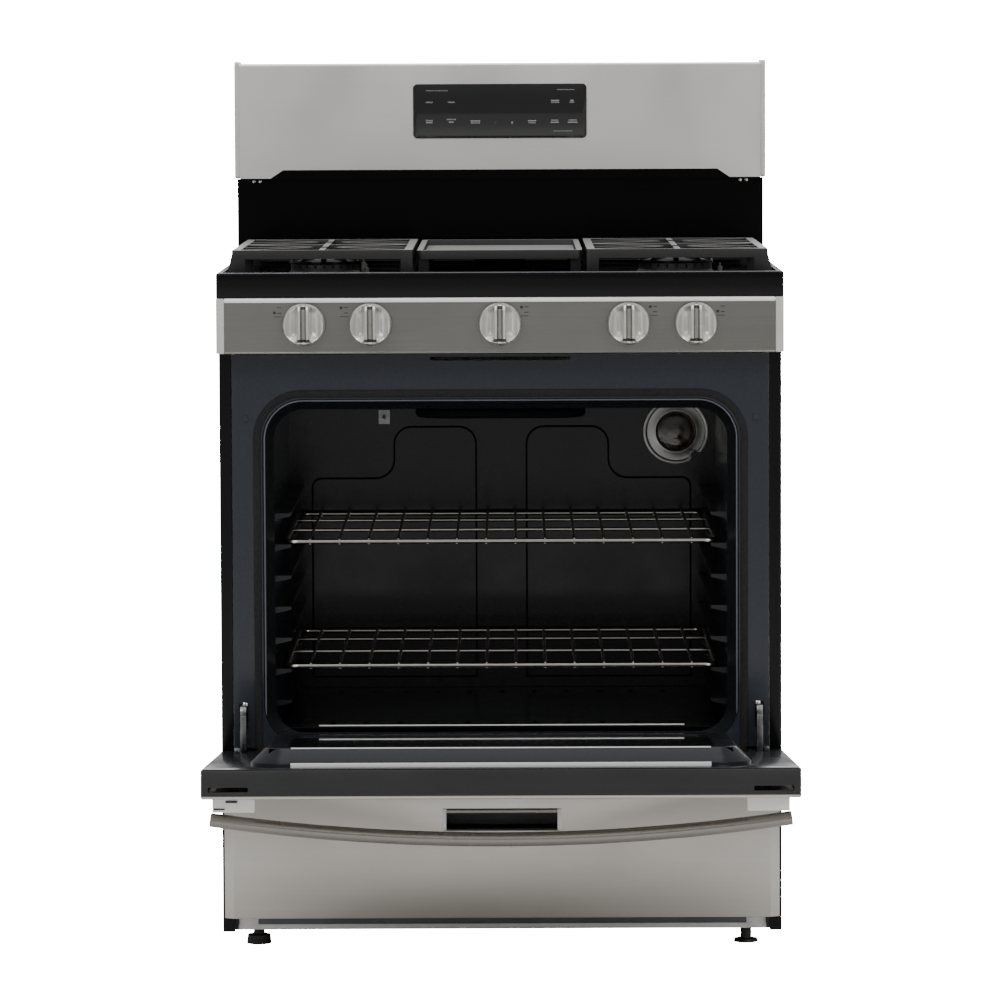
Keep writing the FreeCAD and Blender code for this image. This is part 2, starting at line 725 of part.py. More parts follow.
def oven_floor_panel():
    """The lift-out floor of the oven: a front lip and two rows of heat slots."""
    half = CAVITY_WIDTH / 2 - 12
    front = BODY_FRONT + MOUTH_DEEP + 10
    back = CAVITY_BACK - 8
    level = SILL + 4
    plate = block((-half, half), (front, back), (level, level + 1.5))
    lip = block((-half + 46, half - 46), (front, front + 1.5), (level, level + 4))
    slots = []
    for number in range(-5, 6):
        middle = number * 46
        for y in (front + 40, back - 70):
            slots.append(block((middle - 3, middle + 3), (y, y + 30), (level - 1, level + 3)))
    feet = []
    for side in SIDES.values():
        x = span(side, half - 50, half - 40)
        feet.append(block(x, (front + 20, back - 20), (CAVITY_FLOOR + FIT, level + 1)))
    return node(cut(fuse([plate, lip] + feet), slots), "oven_floor_panel")


def oven_burners():
    """The bake burner under the floor panel and the broil burner under the ceiling."""
    front = BODY_FRONT.value + 90
    back = CAVITY_BACK.value + 12
    low = CAVITY_FLOOR.value + 12
    high = CAVITY_TOP.value - 13
    bake = [(BAKE_X, back, low), (BAKE_X, front, low), (-BAKE_X, front, low), (-BAKE_X, back - 60, low)]
    fore = front + 40
    broil_end = back - 80
    broil = [(BROIL_X, back, high), (BROIL_X, fore, high), (-BROIL_X, fore, high), (-BROIL_X, broil_end, high)]
    items = [shaped(tube(bake, BAKE_R, 30)), shaped(tube(broil, BROIL_R, 40))]
    return node(group(items), "oven_burners")


def oven_lamp():
    """The lamp on the back wall: its cover ring with a notch, and the bulb."""
    x, z = LAMP
    face = CAVITY_BACK - 8
    ring = rod("y", 47.5, face, CAVITY_BACK - 0.2, (x, z))
    well = rod("y", 27, face - 1, CAVITY_BACK + 1, (x, z))
    notch = block((x + 24, x + 34), (face - 1, CAVITY_BACK + 1), (z - 44, z - 30))
    bulb = rod("y", 22, face + 2, CAVITY_BACK - 1, (x, z))
    socket = rod("y", 15, CAVITY_BACK - 2, CAVITY_BACK + 18, (x, z))
    return node(group([cut(ring, [well, notch]), fuse([bulb, socket])]), "oven_lamp")


def temperature_probe():
    """The thermostat's feeler under the ceiling, with its clip on the back wall."""
    x = -168
    z = 686
    rod_end = CAVITY_BACK - 0.3
    feeler = rod("y", 2.5, CAVITY_BACK - 70, rod_end, (x, z))
    clip = block((x - 8, x + 8), (CAVITY_BACK - 2, rod_end), (z - 10, z + 10))
    return node(fuse([feeler, clip]), "temperature_probe")


def rack(name, level):
    """An oven rack: a wire frame with a raised back, a cross bar and fourteen wires."""
    half = RACK_WIDTH.value / 2 - RAIL_WIRE.value
    z = dim(level).value
    front = BODY_FRONT.value + MOUTH_DEEP.value + 9
    back = front + RACK_DEPTH.value
    rail = RAIL_WIRE.value
    wire = RACK_WIRE.value
    start = (0, front, z)
    loop = [start, (-half, front, z), (-half, back, z), (half, back, z), (half, front, z), start]
    shapes = [tube(loop, rail, 16)]
    for y in (front + RACK_DEPTH.value * 0.4, front + RACK_DEPTH.value * 0.75):
        shapes.append(Part.makeCylinder(rail * 0.8, half * 2, Vector(-half, y, z), Vector(1, 0, 0)))
    top = z + rail + wire * 0.4
    count = 14
    pitch = (RACK_WIDTH.value - 72) / (count - 1)
    for number in range(count):
        x = (number - (count - 1) / 2) * pitch
        path = [(x, front, z - rail), (x, front, top), (x, back, top), (x, back, z - rail)]
        shapes.append(tube(path, wire, 3.5))
    item = shaped(shapes[0].multiFuse(shapes[1:]))
    return node(item, name)


def hinge_receivers():
    """In each side of the frame: the hinge's claw, its pin and the box that holds it."""
    items = []
    for side in SIDES.values():
        inner = span(side, HINGE_X - 8, HINGE_X + 8)
        box_x = span(side, HINGE_X - 10, HINGE_X + 10)
        shell = cut(
            block(box_x, (BODY_FRONT + 2, BODY_FRONT + 60), (HINGE_Z + 34, HINGE_Z + 80)),
            [block(inner, (BODY_FRONT + 1, BODY_FRONT + 56), (HINGE_Z + 36, HINGE_Z + 78))],
        )
        arm_x = span(side, HINGE_X - 4, HINGE_X + 4)
        arm = fuse([
            block(arm_x, (BODY_FRONT - 8, BODY_FRONT + 56.5), (HINGE_Z + 42, HINGE_Z + 58)),
            block(arm_x, (HINGE_Y - 6, HINGE_Y + 8), (HINGE_Z - 5, HINGE_Z + 58)),
            rod("x", 9, HINGE_X * side - 4, HINGE_X * side + 4, (BODY_FRONT - 6, HINGE_Z + 62)),
            rod("x", 3, HINGE_X * side - 9, HINGE_X * side + 9, (HINGE_Y, HINGE_Z)),
        ])
        items.append(fuse([shell, arm]))
    return node(group(items), "hinge_receivers")


def drawer_rails():
    """A steel angle on each side that the drawer runs on."""
    half = BODY_WIDTH / 2 - STEEL
    items = []
    for side in SIDES.values():
        y = (BODY_FRONT + 18, BODY_FRONT + DRAWER_DEEP)
        stem = block(span(side, half - 3, half), y, (UNDERSIDE + 45, UNDERSIDE + 75))
        shelf = block(span(side, half - 26, half), y, (UNDERSIDE + 45, UNDERSIDE + 47))
        items.append(fuse([stem, shelf]))
    return node(group(items), "drawer_rails")


def screw_spots():
    """Where the twelve screws of the rear panel are: four across the top and foot, two between."""
    half = BODY_WIDTH / 2 - 24
    ends = (-half, half)
    across = (-half, dim(-90), dim(90), half)
    rows = [
        (UNDERSIDE + 60, across),
        (UNDERSIDE + 300, ends),
        (UNDERSIDE + 540, ends),
        (PANEL_TOP - 20, across),
    ]
    return [(x, level) for level, places in rows for x in places]


def cabinet_screws():
    """Twelve identical pan-head screws that hold the rear panel."""
    items = []
    for spot in screw_spots():
        head = rod("y", 4, REAR, REAR + 2.5, spot)
        shank = rod("y", SCREW_R, REAR - 8, REAR + 1, spot)
        items.append(fuse([head, shank]))
    return node(group(items), "cabinet_screws")


# ---------------------------------------------------------------- gas and cooktop

def cooktop_panel():
    """The enamelled cooktop: a deep front band, a sunk tray and five burner wells."""
    half = WIDTH / 2
    front = FACE + 2
    back = GUARD_FACE + 13
    top = body()
    pad(top, "XY_Plane", oblong((-half, half), (front, back)), PANEL_TOP + GAP, COOKTOP_TOP)
    pocket(top, "XY_Plane", oblong((-half + 2, half - 2), (front + 2, back - 2)), PANEL_TOP + GAP, TRAY - 2)
    tray = oblong((-half + 12, half - 12), (front + 14, back - 4))
    pocket(top, "XY_Plane", tray, TRAY, COOKTOP_TOP)
    inside = half.value - 5
    depth = (front.value + 5, back.value - 1)
    sides = both(
        on_plane("z", COOKTOP_TOP),
        lambda a, b, m: abs(m.x) < inside and depth[0] < m.y < depth[1],
    )
    dress(top, "Chamfer", sides, 3)
    outer = both(along("z"), lambda a, b, m: abs(abs(m.x) - half.value) < 1e-4 and m.y < front.value + 1)
    dress(top, "Fillet", outer, 6)
    rim = both(on_plane("z", COOKTOP_TOP), lambda a, b, m: m.y < front.value + 7 or abs(m.x) > half.value - 1)
    dress(top, "Fillet", rim, 3)
    for x, y, radius in BURNERS.values():
        pocket(top, "XY_Plane", [], TRAY - 2, TRAY, circles=[(x, FACE + y, 20)])
        beside = x + radius + SPARK_OUT
        pocket(top, "XY_Plane", [], TRAY - 2, TRAY, circles=[(beside, FACE + y, SPARK_R + FIT)])
    return node(top, "cooktop_panel")


def burner_heads():
    """Five cast heads, each with its throat through the cooktop and a ring of gas slots."""
    items = []
    for x, y, radius in BURNERS.values():
        y = FACE + y
        head = fuse([
            cone(radius + 6, radius, TRAY, TRAY + 7, x, y),
            rod("z", radius, TRAY + 6, TRAY + 16, (x, y)),
            rod("z", 18, TRAY - 30, TRAY + 7, (x, y)),
        ])
        ports = []
        count = 24
        for number in range(count):
            port = block((0, radius + 2), (-0.9, 0.9), (TRAY + 10, TRAY + 14))
            turn = 360 / count * number
            port.Placement.Rotation = Rotation(Vector(0, 0, 1), turn)
            bind(port, "Placement.Base.x", x)
            bind(port, "Placement.Base.y", y)
            ports.append(port)
        slots = cut(fuse(ports), [rod("z", radius - 5, TRAY + 5, TRAY + 20, (x, y))])
        items.append(cut(head, [slots]))
    return node(group(items), "burner_heads")


def burner_caps():
    """Five enamelled caps on the heads."""
    items = []
    for x, y, radius in BURNERS.values():
        y = FACE + y
        base = TRAY + 16
        plate = rod("z", radius + 2, base, base + 4, (x, y))
        crown = cone(radius + 2, radius - 4, base + 4, base + 7, x, y)
        items.append(fuse([plate, crown]))
    return node(group(items), "burner_caps")


def spark_electrodes():
    """A ceramic spark electrode beside each head."""
    items = []
    for x, y, radius in BURNERS.values():
        spot = (dim(x) + radius + SPARK_OUT, FACE + y)
        sleeve = rod("z", SPARK_R, TRAY - 20, TRAY + 10, spot)
        tip = rod("z", 1.2, TRAY - 25, TRAY + 15, spot)
        items.append(fuse([sleeve, tip]))
    return node(group(items), "spark_electrodes")


def control_panel():
    """The steel fascia: a bent channel with five stem holes."""
    half = WIDTH / 2 - CAP_WIDTH
    inner = FACE + STEEL
    points = [
        (FACE, PANEL_BOTTOM), (BODY_FRONT, PANEL_BOTTOM), (BODY_FRONT, PANEL_BOTTOM + STEEL),
        (inner, PANEL_BOTTOM + STEEL), (inner, PANEL_TOP - STEEL), (BODY_FRONT, PANEL_TOP - STEEL),
        (BODY_FRONT, PANEL_TOP), (FACE, PANEL_TOP),
    ]
    panel = body()
    pad(panel, "YZ_Plane", points, -half, half)
    bend = both(along("x"), on_plane("y", FACE))
    dress(panel, "Fillet", bend, 3)
    for x in KNOB_SPOTS.values():
        pocket(panel, "XZ_Plane", [], FACE - 1, FACE + STEEL + 1, circles=[(x, KNOB_Z, STEM_R + 2)])
    return node(panel, "control_panel")


def control_panel_end_caps():
    """A moulded end on each side of the fascia."""
    items = []
    for side in SIDES.values():
        x = span(side, WIDTH / 2 - CAP_WIDTH, WIDTH / 2)
        cap = body()
        points = oblong((FACE - 1, BODY_FRONT - GAP), (PANEL_BOTTOM, PANEL_TOP))
        pad(cap, "YZ_Plane", points, x[0], x[1])
        edge = (WIDTH / 2 * side).value
        dress(cap, "Fillet", both(along("z"), on_plane("y", FACE - 1), on_plane("x", edge)), 4)
        items.append(cap)
    return node(group(items), "control_panel_end_caps")


def gas_manifold():
    """The pipe behind the fascia that feeds the valves, and the run from the regulator."""
    y = BODY_FRONT.value + 28
    z = KNOB_Z.value
    right = BODY_WIDTH.value / 2 - 30
    back = REAR.value - 30
    run = [(-right, y, z), (right, y, z), (right, back, z), (right, back, z - 60)]
    ports = [rod("y", NOZZLE_R + FIT, dim(y) - 12, dim(y) - 3, (dim(x), KNOB_Z)) for x in KNOB_SPOTS.values()]
    return node(cut(shaped(tube(run, 8, 30)), ports), "gas_manifold")


def gas_valves():
    """A brass valve on the manifold behind each knob."""
    items = []
    y = BODY_FRONT + 28
    for x in KNOB_SPOTS.values():
        x = dim(x)
        chamber = block((x - 12, x + 12), (FACE + 22, y - 8.5), (KNOB_Z - 12, KNOB_Z + 14))
        nozzle = rod("y", NOZZLE_R, y - 12, y - 4, (x, KNOB_Z))
        bore = rod("y", STEM_R + FIT, FACE + 20, FACE + 42, (x, KNOB_Z))
        items.append(cut(fuse([chamber, nozzle]), [bore]))
    return node(group(items), "gas_valves")


def valve_stem(name, x):
    """The stem that a knob turns."""
    return node(rod("y", STEM_R, FACE - 14, FACE + 41, (dim(x), KNOB_Z)), name)


def knob(name, x):
    """A burner knob: a skirted dish with a raised grip across it and a blind bore."""
    x = dim(x)
    foot = FACE - KNOB_TRAVEL - 1
    y = [foot, foot - 8, foot - 14, foot - 27]
    skirt = rod("y", KNOB_R, y[1], y[0], (x, KNOB_Z))
    dish = rod("y", KNOB_R - 1.5, y[2], y[1] + 1, (x, KNOB_Z))
    grip = block((x - 8, x + 8), (y[3], y[2] + 1), (KNOB_Z - KNOB_R + 2.5, KNOB_Z + KNOB_R - 2.5))
    trimmed = doc.addObject("Part::MultiCommon", "Grip")
    trimmed.Shapes = [grip, rod("y", KNOB_R - 2, y[3], y[2] + 1, (x, KNOB_Z))]
    bore = rod("y", STEM_R + FIT, FACE - 15 - KNOB_TRAVEL, foot + 1, (x, KNOB_Z))
    return node(cut(fuse([skirt, dish, trimmed]), [bore]), name)


def grate(name, side):
    """A cast grate over two burners: a frame, fingers towards each burner and its feet."""
    inner = GRATE_INNER
    outer = GRATE_OUTER
    y0 = GRATE_FRONT
    y1 = GRATE_BACK
    middle = (y0 + y1) / 2
    z = (GRATE_TOP - BAR, GRATE_TOP)
    thick = 11
    x = span(side, inner, outer)
    bars = [
        block(x, (y0, y0 + thick), z),
        block(x, (y1 - thick, y1), z),
        block(x, (middle - thick / 2, middle + thick / 2), z),
        block(span(side, inner, inner + thick), (y0, y1), z),
        block(span(side, outer - thick, outer), (y0, y1), z),
    ]
    centre = BURNER_X * side
    reach = (outer - inner) / 2 - 4
    into = 0.25
    over = 2.25
    runs = {"left_front": (y0 + thick - into, middle + over), "left_rear": (middle - over, y1 - thick + into)}
    for key, (nearest, farthest) in runs.items():
        y = FACE + BURNERS[key][1]
        lengths = [reach, reach * 1.41, farthest - y, reach * 1.41, reach, reach * 1.41, y - nearest, reach * 1.41]
        for number, long in enumerate(lengths):
            finger = block((24, long), (-4, 4), z)
            finger.Placement.Rotation = Rotation(Vector(0, 0, 1), 45 * number)
            angle = math.radians(45 * number)
            bind(finger, "Placement.Base.x", centre + 24 * math.cos(angle) + 4 * math.sin(angle))
            bind(finger, "Placement.Base.y", y + 24 * math.sin(angle) - 4 * math.cos(angle))
            bars.append(finger)
    leg_low = TRAY + 0.4
    for spot in (y0, middle - 7, y1 - 14):
        bars.append(block(span(side, inner, inner + 16), (spot, spot + 14), (leg_low, GRATE_TOP - 2)))
        flare = body()
        points = [
            (outer - 18, leg_low),
            (outer + 6, leg_low),
            (outer + 6, leg_low + 8),
            (outer, GRATE_TOP - 5),
            (outer - 18, GRATE_TOP - 5),
        ]
        pad(flare, "XZ_Plane", [(a * side, b) for a, b in points], spot, spot + 14)
        bars.append(flare)
    return node(fuse(bars), name)


def griddle():
    """The middle griddle plate: a raised rim, a front lip and four feet."""
    half = GRIDDLE_WIDTH / 2
    y0 = GRATE_FRONT + 4
    y1 = GRATE_BACK - 4
    plate = body()
    pad(plate, "XY_Plane", oblong((-half, half), (y0, y1)), GRATE_TOP - 13, GRATE_TOP - 1)
    dress(plate, "Fillet", along("z"), 10)
    pocket(plate, "XY_Plane", oblong((-half + 8, half - 8), (y0 + 10, y1 - 10)), GRATE_TOP - 9, GRATE_TOP - 1)
    items = [plate]
    for side in SIDES.values():
        for y in (y0 + 6, y1 - 20):
            items.append(block(span(side, half - 16, half - 2), (y, y + 14), (TRAY + 0.4, GRATE_TOP - 11)))
    return node(fuse(items), "griddle")


# ---------------------------------------------------------------- backguard

def backguard_front():
    """The steel backguard: its face dips at both ends, and it folds back over the top."""
    half = WIDTH / 2 - END_CAP
    points = [
        (-half, BACKGUARD_LOW - DIP), (-half + 44, BACKGUARD_LOW - DIP), (-half + 62, BACKGUARD_LOW),
        (half - 62, BACKGUARD_LOW), (half - 44, BACKGUARD_LOW - DIP), (half, BACKGUARD_LOW - DIP),
        (half, BACKGUARD_TOP), (-half, BACKGUARD_TOP),
    ]
    guard = body()
    pad(guard, "XZ_Plane", points, GUARD_FACE, GUARD_FACE + STEEL)
    roof = oblong((-half, half), (BACKGUARD_TOP - STEEL, BACKGUARD_TOP))
    pad(guard, "XZ_Plane", roof, GUARD_FACE, BACK - 20)
    way = oblong((-CLOCK_WIDTH / 2 + 6, CLOCK_WIDTH / 2 - 6), (CLOCK_LOW + 6, CLOCK_HIGH - 6))
    pocket(guard, "XZ_Plane", way, GUARD_FACE, GUARD_FACE + STEEL)
    dress(guard, "Fillet", both(along("x"), on_plane("y", GUARD_FACE), on_plane("z", BACKGUARD_TOP)), 4)
    return node(guard, "backguard_front")


def backguard_end_caps():
    """A light moulded cap on each end of the backguard."""
    items = []
    for side in SIDES.values():
        x = span(side, WIDTH / 2 - END_CAP, WIDTH / 2)
        cap = body()
        low = BACKGUARD_LOW - DIP
        top = BACKGUARD_TOP + 3
        front = GUARD_FACE - 2
        points = [(front, low), (BACK - 12, low), (BACK - 12, top - 14), (BACK - 30, top), (front, top)]
        pad(cap, "YZ_Plane", points, x[0], x[1])
        dress(cap, "Fillet", both(along("x"), on_plane("y", front)), 5)
        items.append(cap)
    return node(group(items), "backguard_end_caps")


def backguard_splash():
    """The black sheet between the cooktop and the steel backguard, with its top trim."""
    half = WIDTH / 2 - 3
    y = GUARD_FACE + 14
    between = WIDTH / 2 - END_CAP - GAP
    meet = BACKGUARD_LOW - DIP - GAP
    sheet_part = block((-half, half), (y, y + STEEL), (TRAY, meet))
    upper = block((-between, between), (y, y + STEEL), (meet, BACKGUARD_LOW + 10))
    trim = block((-half + 16, half - 16), (GUARD_FACE + 4, y), (BACKGUARD_LOW - DIP, BACKGUARD_LOW))
    foot = block((-half, half), (y, BACK - 14), (TRAY, TRAY + STEEL))
    return node(fuse([sheet_part, upper, trim, foot]), "backguard_splash")


def backguard_rear_cover():
    """The galvanised cover behind the backguard, with louvres and a bushed way for the lead."""
    half = WIDTH / 2 - 8
    y0 = GUARD_FACE + 20
    y1 = BACK - 4
    top = BACKGUARD_TOP - STEEL - 1
    low = TRAY + STEEL + 1
    shell = cut(
        block((-half, half), (y0, y1), (low, top)),
        [block((-half + STEEL, half - STEEL), (y0 - 1, y1 - STEEL), (low - 1, top - STEEL))],
    )
    slots = []
    for number in range(-5, 6):
        middle = number * 60
        slots.append(block((middle - 20, middle + 20), (y1 - 5, y1 + 5), (top - 60, top - 54)))
        slots.append(block((middle - 20, middle + 20), (y1 - 5, y1 + 5), (top - 80, top - 74)))
    way = rod("y", 9, y1 - 6, y1 + 6, (dim(-300), low + 40))
    bush = cut(
        rod("y", 13, y1 - 4, y1 + 3.5, (dim(-300), low + 40)),
        [rod("y", 6, y1 - 6, y1 + 6, (dim(-300), low + 40))],
    )
    return node(group([cut(shell, slots + [rod("y", 13.3, y1 - 6, y1 + 6, (dim(-300), low + 40))]), bush]),
                "backguard_rear_cover")


def clock_control():
    """The oven control: a glass touch panel in front and its housing behind."""
    half = CLOCK_WIDTH / 2
    glass = body()
    pad(glass, "XZ_Plane", oblong((-half, half), (CLOCK_LOW, CLOCK_HIGH)), GUARD_FACE - 2.5, GUARD_FACE, 6)
    housing = block((-half + 7, half - 7), (GUARD_FACE, GUARD_FACE + 45), (CLOCK_LOW + 7, CLOCK_HIGH - 7))
    return node(fuse([glass, housing]), "clock_control")


def gas_regulator():
    """The pressure regulator in the rear recess, with the inlet that the supply screws on."""
    x = dim(270)
    z = dim(90)
    body_part = rod("y", 24, REAR - 52, REAR - 22, (x, z))
    dome = rod("z", 13, z, z + 34, (x, REAR - 37))
    inlet = rod("y", GAS_PIPE_R, REAR - 24, BACK - 2, (x, z))
    bore = rod("y", 7, REAR - 24, BACK, (x, z))
    return node(cut(fuse([body_part, dome, inlet]), [bore]), "gas_regulator")


# ---------------------------------------------------------------- door

def door_skin():
    """The outer steel pan of the door, with its window."""
    half = DOOR_WIDTH / 2
    skin = body()
    pad(skin, "XZ_Plane", oblong((-half, half), (DOOR_BOTTOM, DOOR_TOP)), FACE, DOOR_INNER - STEEL)
    dress(skin, "Fillet", on_plane("y", FACE), 3)
    inner = oblong((-half + STEEL, half - STEEL), (DOOR_BOTTOM + STEEL, DOOR_TOP + 1))
    pocket(skin, "XZ_Plane", inner, FACE + SKIN, DOOR_INNER)
    window = oblong((-WINDOW_X, WINDOW_X), WINDOW_Z)
    pocket(skin, "XZ_Plane", window, FACE - 1, FACE + SKIN, 12)
    for side in SIDES.values():
        slot = oblong(span(side, HINGE_X - 12, HINGE_X + 12), (DOOR_BOTTOM - 1, DOOR_BOTTOM + STEEL + 1))
        pocket(skin, "XZ_Plane", slot, FACE + SKIN + 4, DOOR_INNER)
    return node(on_door(skin), "door_skin")


def door_outer_glass():
    """The tinted outer window."""
    room = 0.6
    x = (-WINDOW_X + room, WINDOW_X - room)
    z = (WINDOW_Z[0] + room, WINDOW_Z[1] - room)
    glass = body()
    pad(glass, "XZ_Plane", oblong(x, z), FACE + 0.4, FACE + SKIN + 0.6, 11.4)
    return node(on_door(glass), "door_outer_glass")


def door_liner():
    """The enamelled inner panel: a flat flange, a raised plug, the inner window and two slots."""
    half = DOOR_WIDTH / 2 - 2
    plug = CAVITY_WIDTH / 2 + MOUTH_FLARE - 2
    low = SILL - 6
    high = CAVITY_TOP + MOUTH_FLARE - 2
    liner = body()
    sheet_outline = oblong((-half, half), (DOOR_BOTTOM + 3, DOOR_TOP - 3))
    pad(liner, "XZ_Plane", sheet_outline, DOOR_INNER - STEEL, DOOR_INNER)
    top = DOOR_INNER + PLUG_TALL
    bend = CAVITY_RADIUS + MOUTH_FLARE - 2
    pad(liner, "XZ_Plane", oblong((-plug, plug), (low, high)), DOOR_INNER - STEEL, top, bend)
    dress(liner, "Chamfer", on_plane("y", top), 19)
    hollow = oblong((-plug + 24, plug - 24), (low + 24, high - 24))
    pocket(liner, "XZ_Plane", hollow, DOOR_INNER - STEEL, top - STEEL)
    window = oblong((-INNER_WINDOW_X, INNER_WINDOW_X), INNER_WINDOW_Z)
    pocket(liner, "XZ_Plane", window, DOOR_INNER, top, 20)
    for side in SIDES.values():
        slot = oblong(span(side, HINGE_X - 7, HINGE_X + 7), (DOOR_BOTTOM - 1, HINGE_Z + 76))
        pocket(liner, "XZ_Plane", slot, DOOR_INNER - STEEL, DOOR_INNER)
    return node(on_door(liner), "door_liner")


def door_inner_glass():
    """The inner window, behind the opening of the plug."""
    x = (-INNER_WINDOW_X - 8, INNER_WINDOW_X + 8)
    z = (INNER_WINDOW_Z[0] - 8, INNER_WINDOW_Z[1] + 8)
    top = DOOR_INNER + PLUG_TALL - STEEL
    glass = body()
    pad(glass, "XZ_Plane", oblong(x, z), top - 4, top, 8)
    return node(on_door(glass), "door_inner_glass")


def door_top_trim():
    """The black trim along the top edge of the door, with a vent slot at each end."""
    half = DOOR_WIDTH / 2 - STEEL - 0.2
    y = (FACE + SKIN + 0.2, DOOR_INNER - STEEL - 0.2)
    trim = block((-half, half), y, (DOOR_TOP - 12, DOOR_TOP - 0.3))
    slots = []
    for side in SIDES.values():
        x = span(side, half - 58, half - 8)
        slots.append(block(x, (y[0] + 5, y[0] + 11), (DOOR_TOP - 20, DOOR_TOP + 1)))
    return node(on_door(cut(trim, slots)), "door_top_trim")


def door_hinge_plates():
    """A pair of hinge cheeks in each side of the door, bored for the hinge pin."""
    items = []
    for side in SIDES.values():
        for offset in (-8, 6):
            x = span(side, HINGE_X + offset, HINGE_X + offset + 2)
            deep = (FACE + SKIN + 1, DOOR_INNER - STEEL - 0.3)
            cheek = block(x, deep, (DOOR_BOTTOM + STEEL + 0.5, DOOR_BOTTOM + 120))
            pin = HINGE_X * side
            bore = rod("x", 3 + FIT, pin - 12, pin + 12, (HINGE_Y, HINGE_Z))
            items.append(cut(cheek, [bore]))
    return node(on_door(group(items)), "door_hinge_plates")


def handle_bar():
    """The bowed handle: a rounded section carried along one long arc."""
    half = HANDLE_LONG.value / 2
    z = DOOR_TOP.value - HANDLE_DROP.value
    end_y = FACE.value - HANDLE_END.value
    middle_y = FACE.value - HANDLE_MID.value
    left = Vector(-half, end_y, z)
    right = Vector(half, end_y, z)
    arc = Part.Arc(left, Vector(0, middle_y, z), right)
    path = Part.Wire(arc.toShape())
    tangent = arc.tangent(arc.FirstParameter)[0]
    deep = HANDLE_THICK.value / 2
    tall = HANDLE_TALL.value / 2
    across = tangent.cross(Vector(0, 0, 1)).normalize()
    ring = Part.Wire(Part.Ellipse(left + Vector(0, 0, tall), left + across * deep, left).toShape())
    bar = path.makePipeShell([ring], True, True)
    item = shaped(bar)
    return node(on_door(item), "handle_bar")


def handle_brackets():
    """The end blocks that carry the handle in front of the door."""
    half = HANDLE_LONG / 2
    z = DOOR_TOP - HANDLE_DROP
    items = []
    for side in SIDES.values():
        x = span(side, half - 57, half - 3)
        foot = block(x, (FACE - HANDLE_END + 4, FACE), (z - 10, z + 10))
        items.append(cut(foot, [handle_room(side)]))
    return node(on_door(group(items)), "handle_brackets")


def handle_room(side):
    """The room that the handle takes up, cut from a bracket."""
    half = HANDLE_LONG / 2
    z = DOOR_TOP - HANDLE_DROP
    x = span(side, half - 60, half)
    return block(x, (FACE - HANDLE_MID, FACE - HANDLE_END + HANDLE_THICK / 2 + 0.3), (z - 20, z + 20))


# ---------------------------------------------------------------- drawer

def drawer_front():
    """The steel drawer front: a flat face, a slanted strip at each side and the pull's opening."""
    half = DRAWER_WIDTH / 2
    flat = half - 12
    points = [(-flat, FACE), (flat, FACE), (half, FACE + 7), (half, FACE + DRAWER_THICK),
              (-half, FACE + DRAWER_THICK), (-half, FACE + 7)]
    front = body()
    pad(front, "XY_Plane", points, DRAWER_BOTTOM, DRAWER_TOP)
    pull = oblong((-PULL_WIDTH / 2, PULL_WIDTH / 2), (PULL_LOW, PULL_HIGH))
    pocket(front, "XZ_Plane", pull, FACE, FACE + DRAWER_THICK)
    return node(front, "drawer_front")


def drawer_pull():
    """The moulded cup behind the opening of the drawer front."""
    half = PULL_WIDTH / 2 - 0.3
    y = (FACE + 1, FACE + 48)
    low = PULL_LOW + 0.3
    high = PULL_HIGH - 0.3
    shell = block((-half, half), y, (low, high))
    room = block((-half + 2, half - 2), (FACE, y[1] - 2), (low + 2, high - 7))
    return node(cut(shell, [room]), "drawer_pull")


def drawer_box():
    """The sheet steel drawer behind the front, with a runner flange on each side."""
    half = BODY_WIDTH / 2 - 34
    y = (FACE + DRAWER_THICK, FACE + DRAWER_THICK + DRAWER_DEEP)
    z = (UNDERSIDE + 30, UNDERSIDE + 130)
    shell = block((-half, half), y, z)
    room = block((-half + STEEL, half - STEEL), (y[0] + STEEL, y[1] - STEEL), (z[0] + STEEL, z[1] + 1))
    items = [shell]
    for side in SIDES.values():
        rail = span(side, half - 0.5, half + 18)
        items.append(block(rail, y, (UNDERSIDE + 47.4, UNDERSIDE + 48.6)))
    return node(cut(fuse(items), [room, drawer_box_notch(y[0])]), "drawer_box")


def drawer_box_notch(front):
    """The way for the pull's cup through the front wall of the box."""
    half = PULL_WIDTH / 2 + 4
    return block((-half, half), (front - 1, front + STEEL + 1), (PULL_LOW - 4, PULL_HIGH + 8))


# ---------------------------------------------------------------- build

for word, side in SIDES.items():
    side_panel(f"side_panel_{word}", side)
rear_panel()
base_frame()
leg("leg_front_left", -1, False, 13)
leg("leg_front_right", 1, False, 5)
leg("leg_rear_left", -1, True, 5)
leg("leg_rear_right", 1, True, 5)
face_frame()
oven_liner()
door_gasket()
door_bumpers()
oven_insulation()
oven_floor_panel()
oven_burners()
oven_lamp()
temperature_probe()
rack("oven_rack_lower", RACK_LOW)
rack("oven_rack_upper", RACK_LOW + RACK_PITCH * 4)
hinge_receivers()
drawer_rails()
cabinet_screws()
cooktop_panel()
burner_heads()
burner_caps()
spark_electrodes()
control_panel()
control_panel_end_caps()
gas_manifold()
gas_valves()
for word, x in KNOB_SPOTS.items():
    valve_stem(f"valve_stem_{word}", x)
    knob(f"knob_{word}", x)
for word, side in SIDES.items():
    grate(f"grate_{word}", side)
griddle()
backguard_front()
backguard_end_caps()
backguard_splash()
backguard_rear_cover()
clock_control()
gas_regulator()
door_skin()
door_outer_glass()
door_liner()
door_inner_glass()
door_top_trim()
door_hinge_plates()
handle_bar()
handle_brackets()
drawer_front()
drawer_pull()
drawer_box()

doc.recompute()

# ---------------------------------------------------------------- check and write

for item in doc.Objects:
    if "Invalid" in item.State or "Error" in item.State:
        raise RuntimeError(f"{item.Label} failed: {item.State}")
for item in nodes:
    if item.Shape.isNull() or not item.Shape.isValid():
        raise RuntimeError(f"{item.Label} has no valid shape")

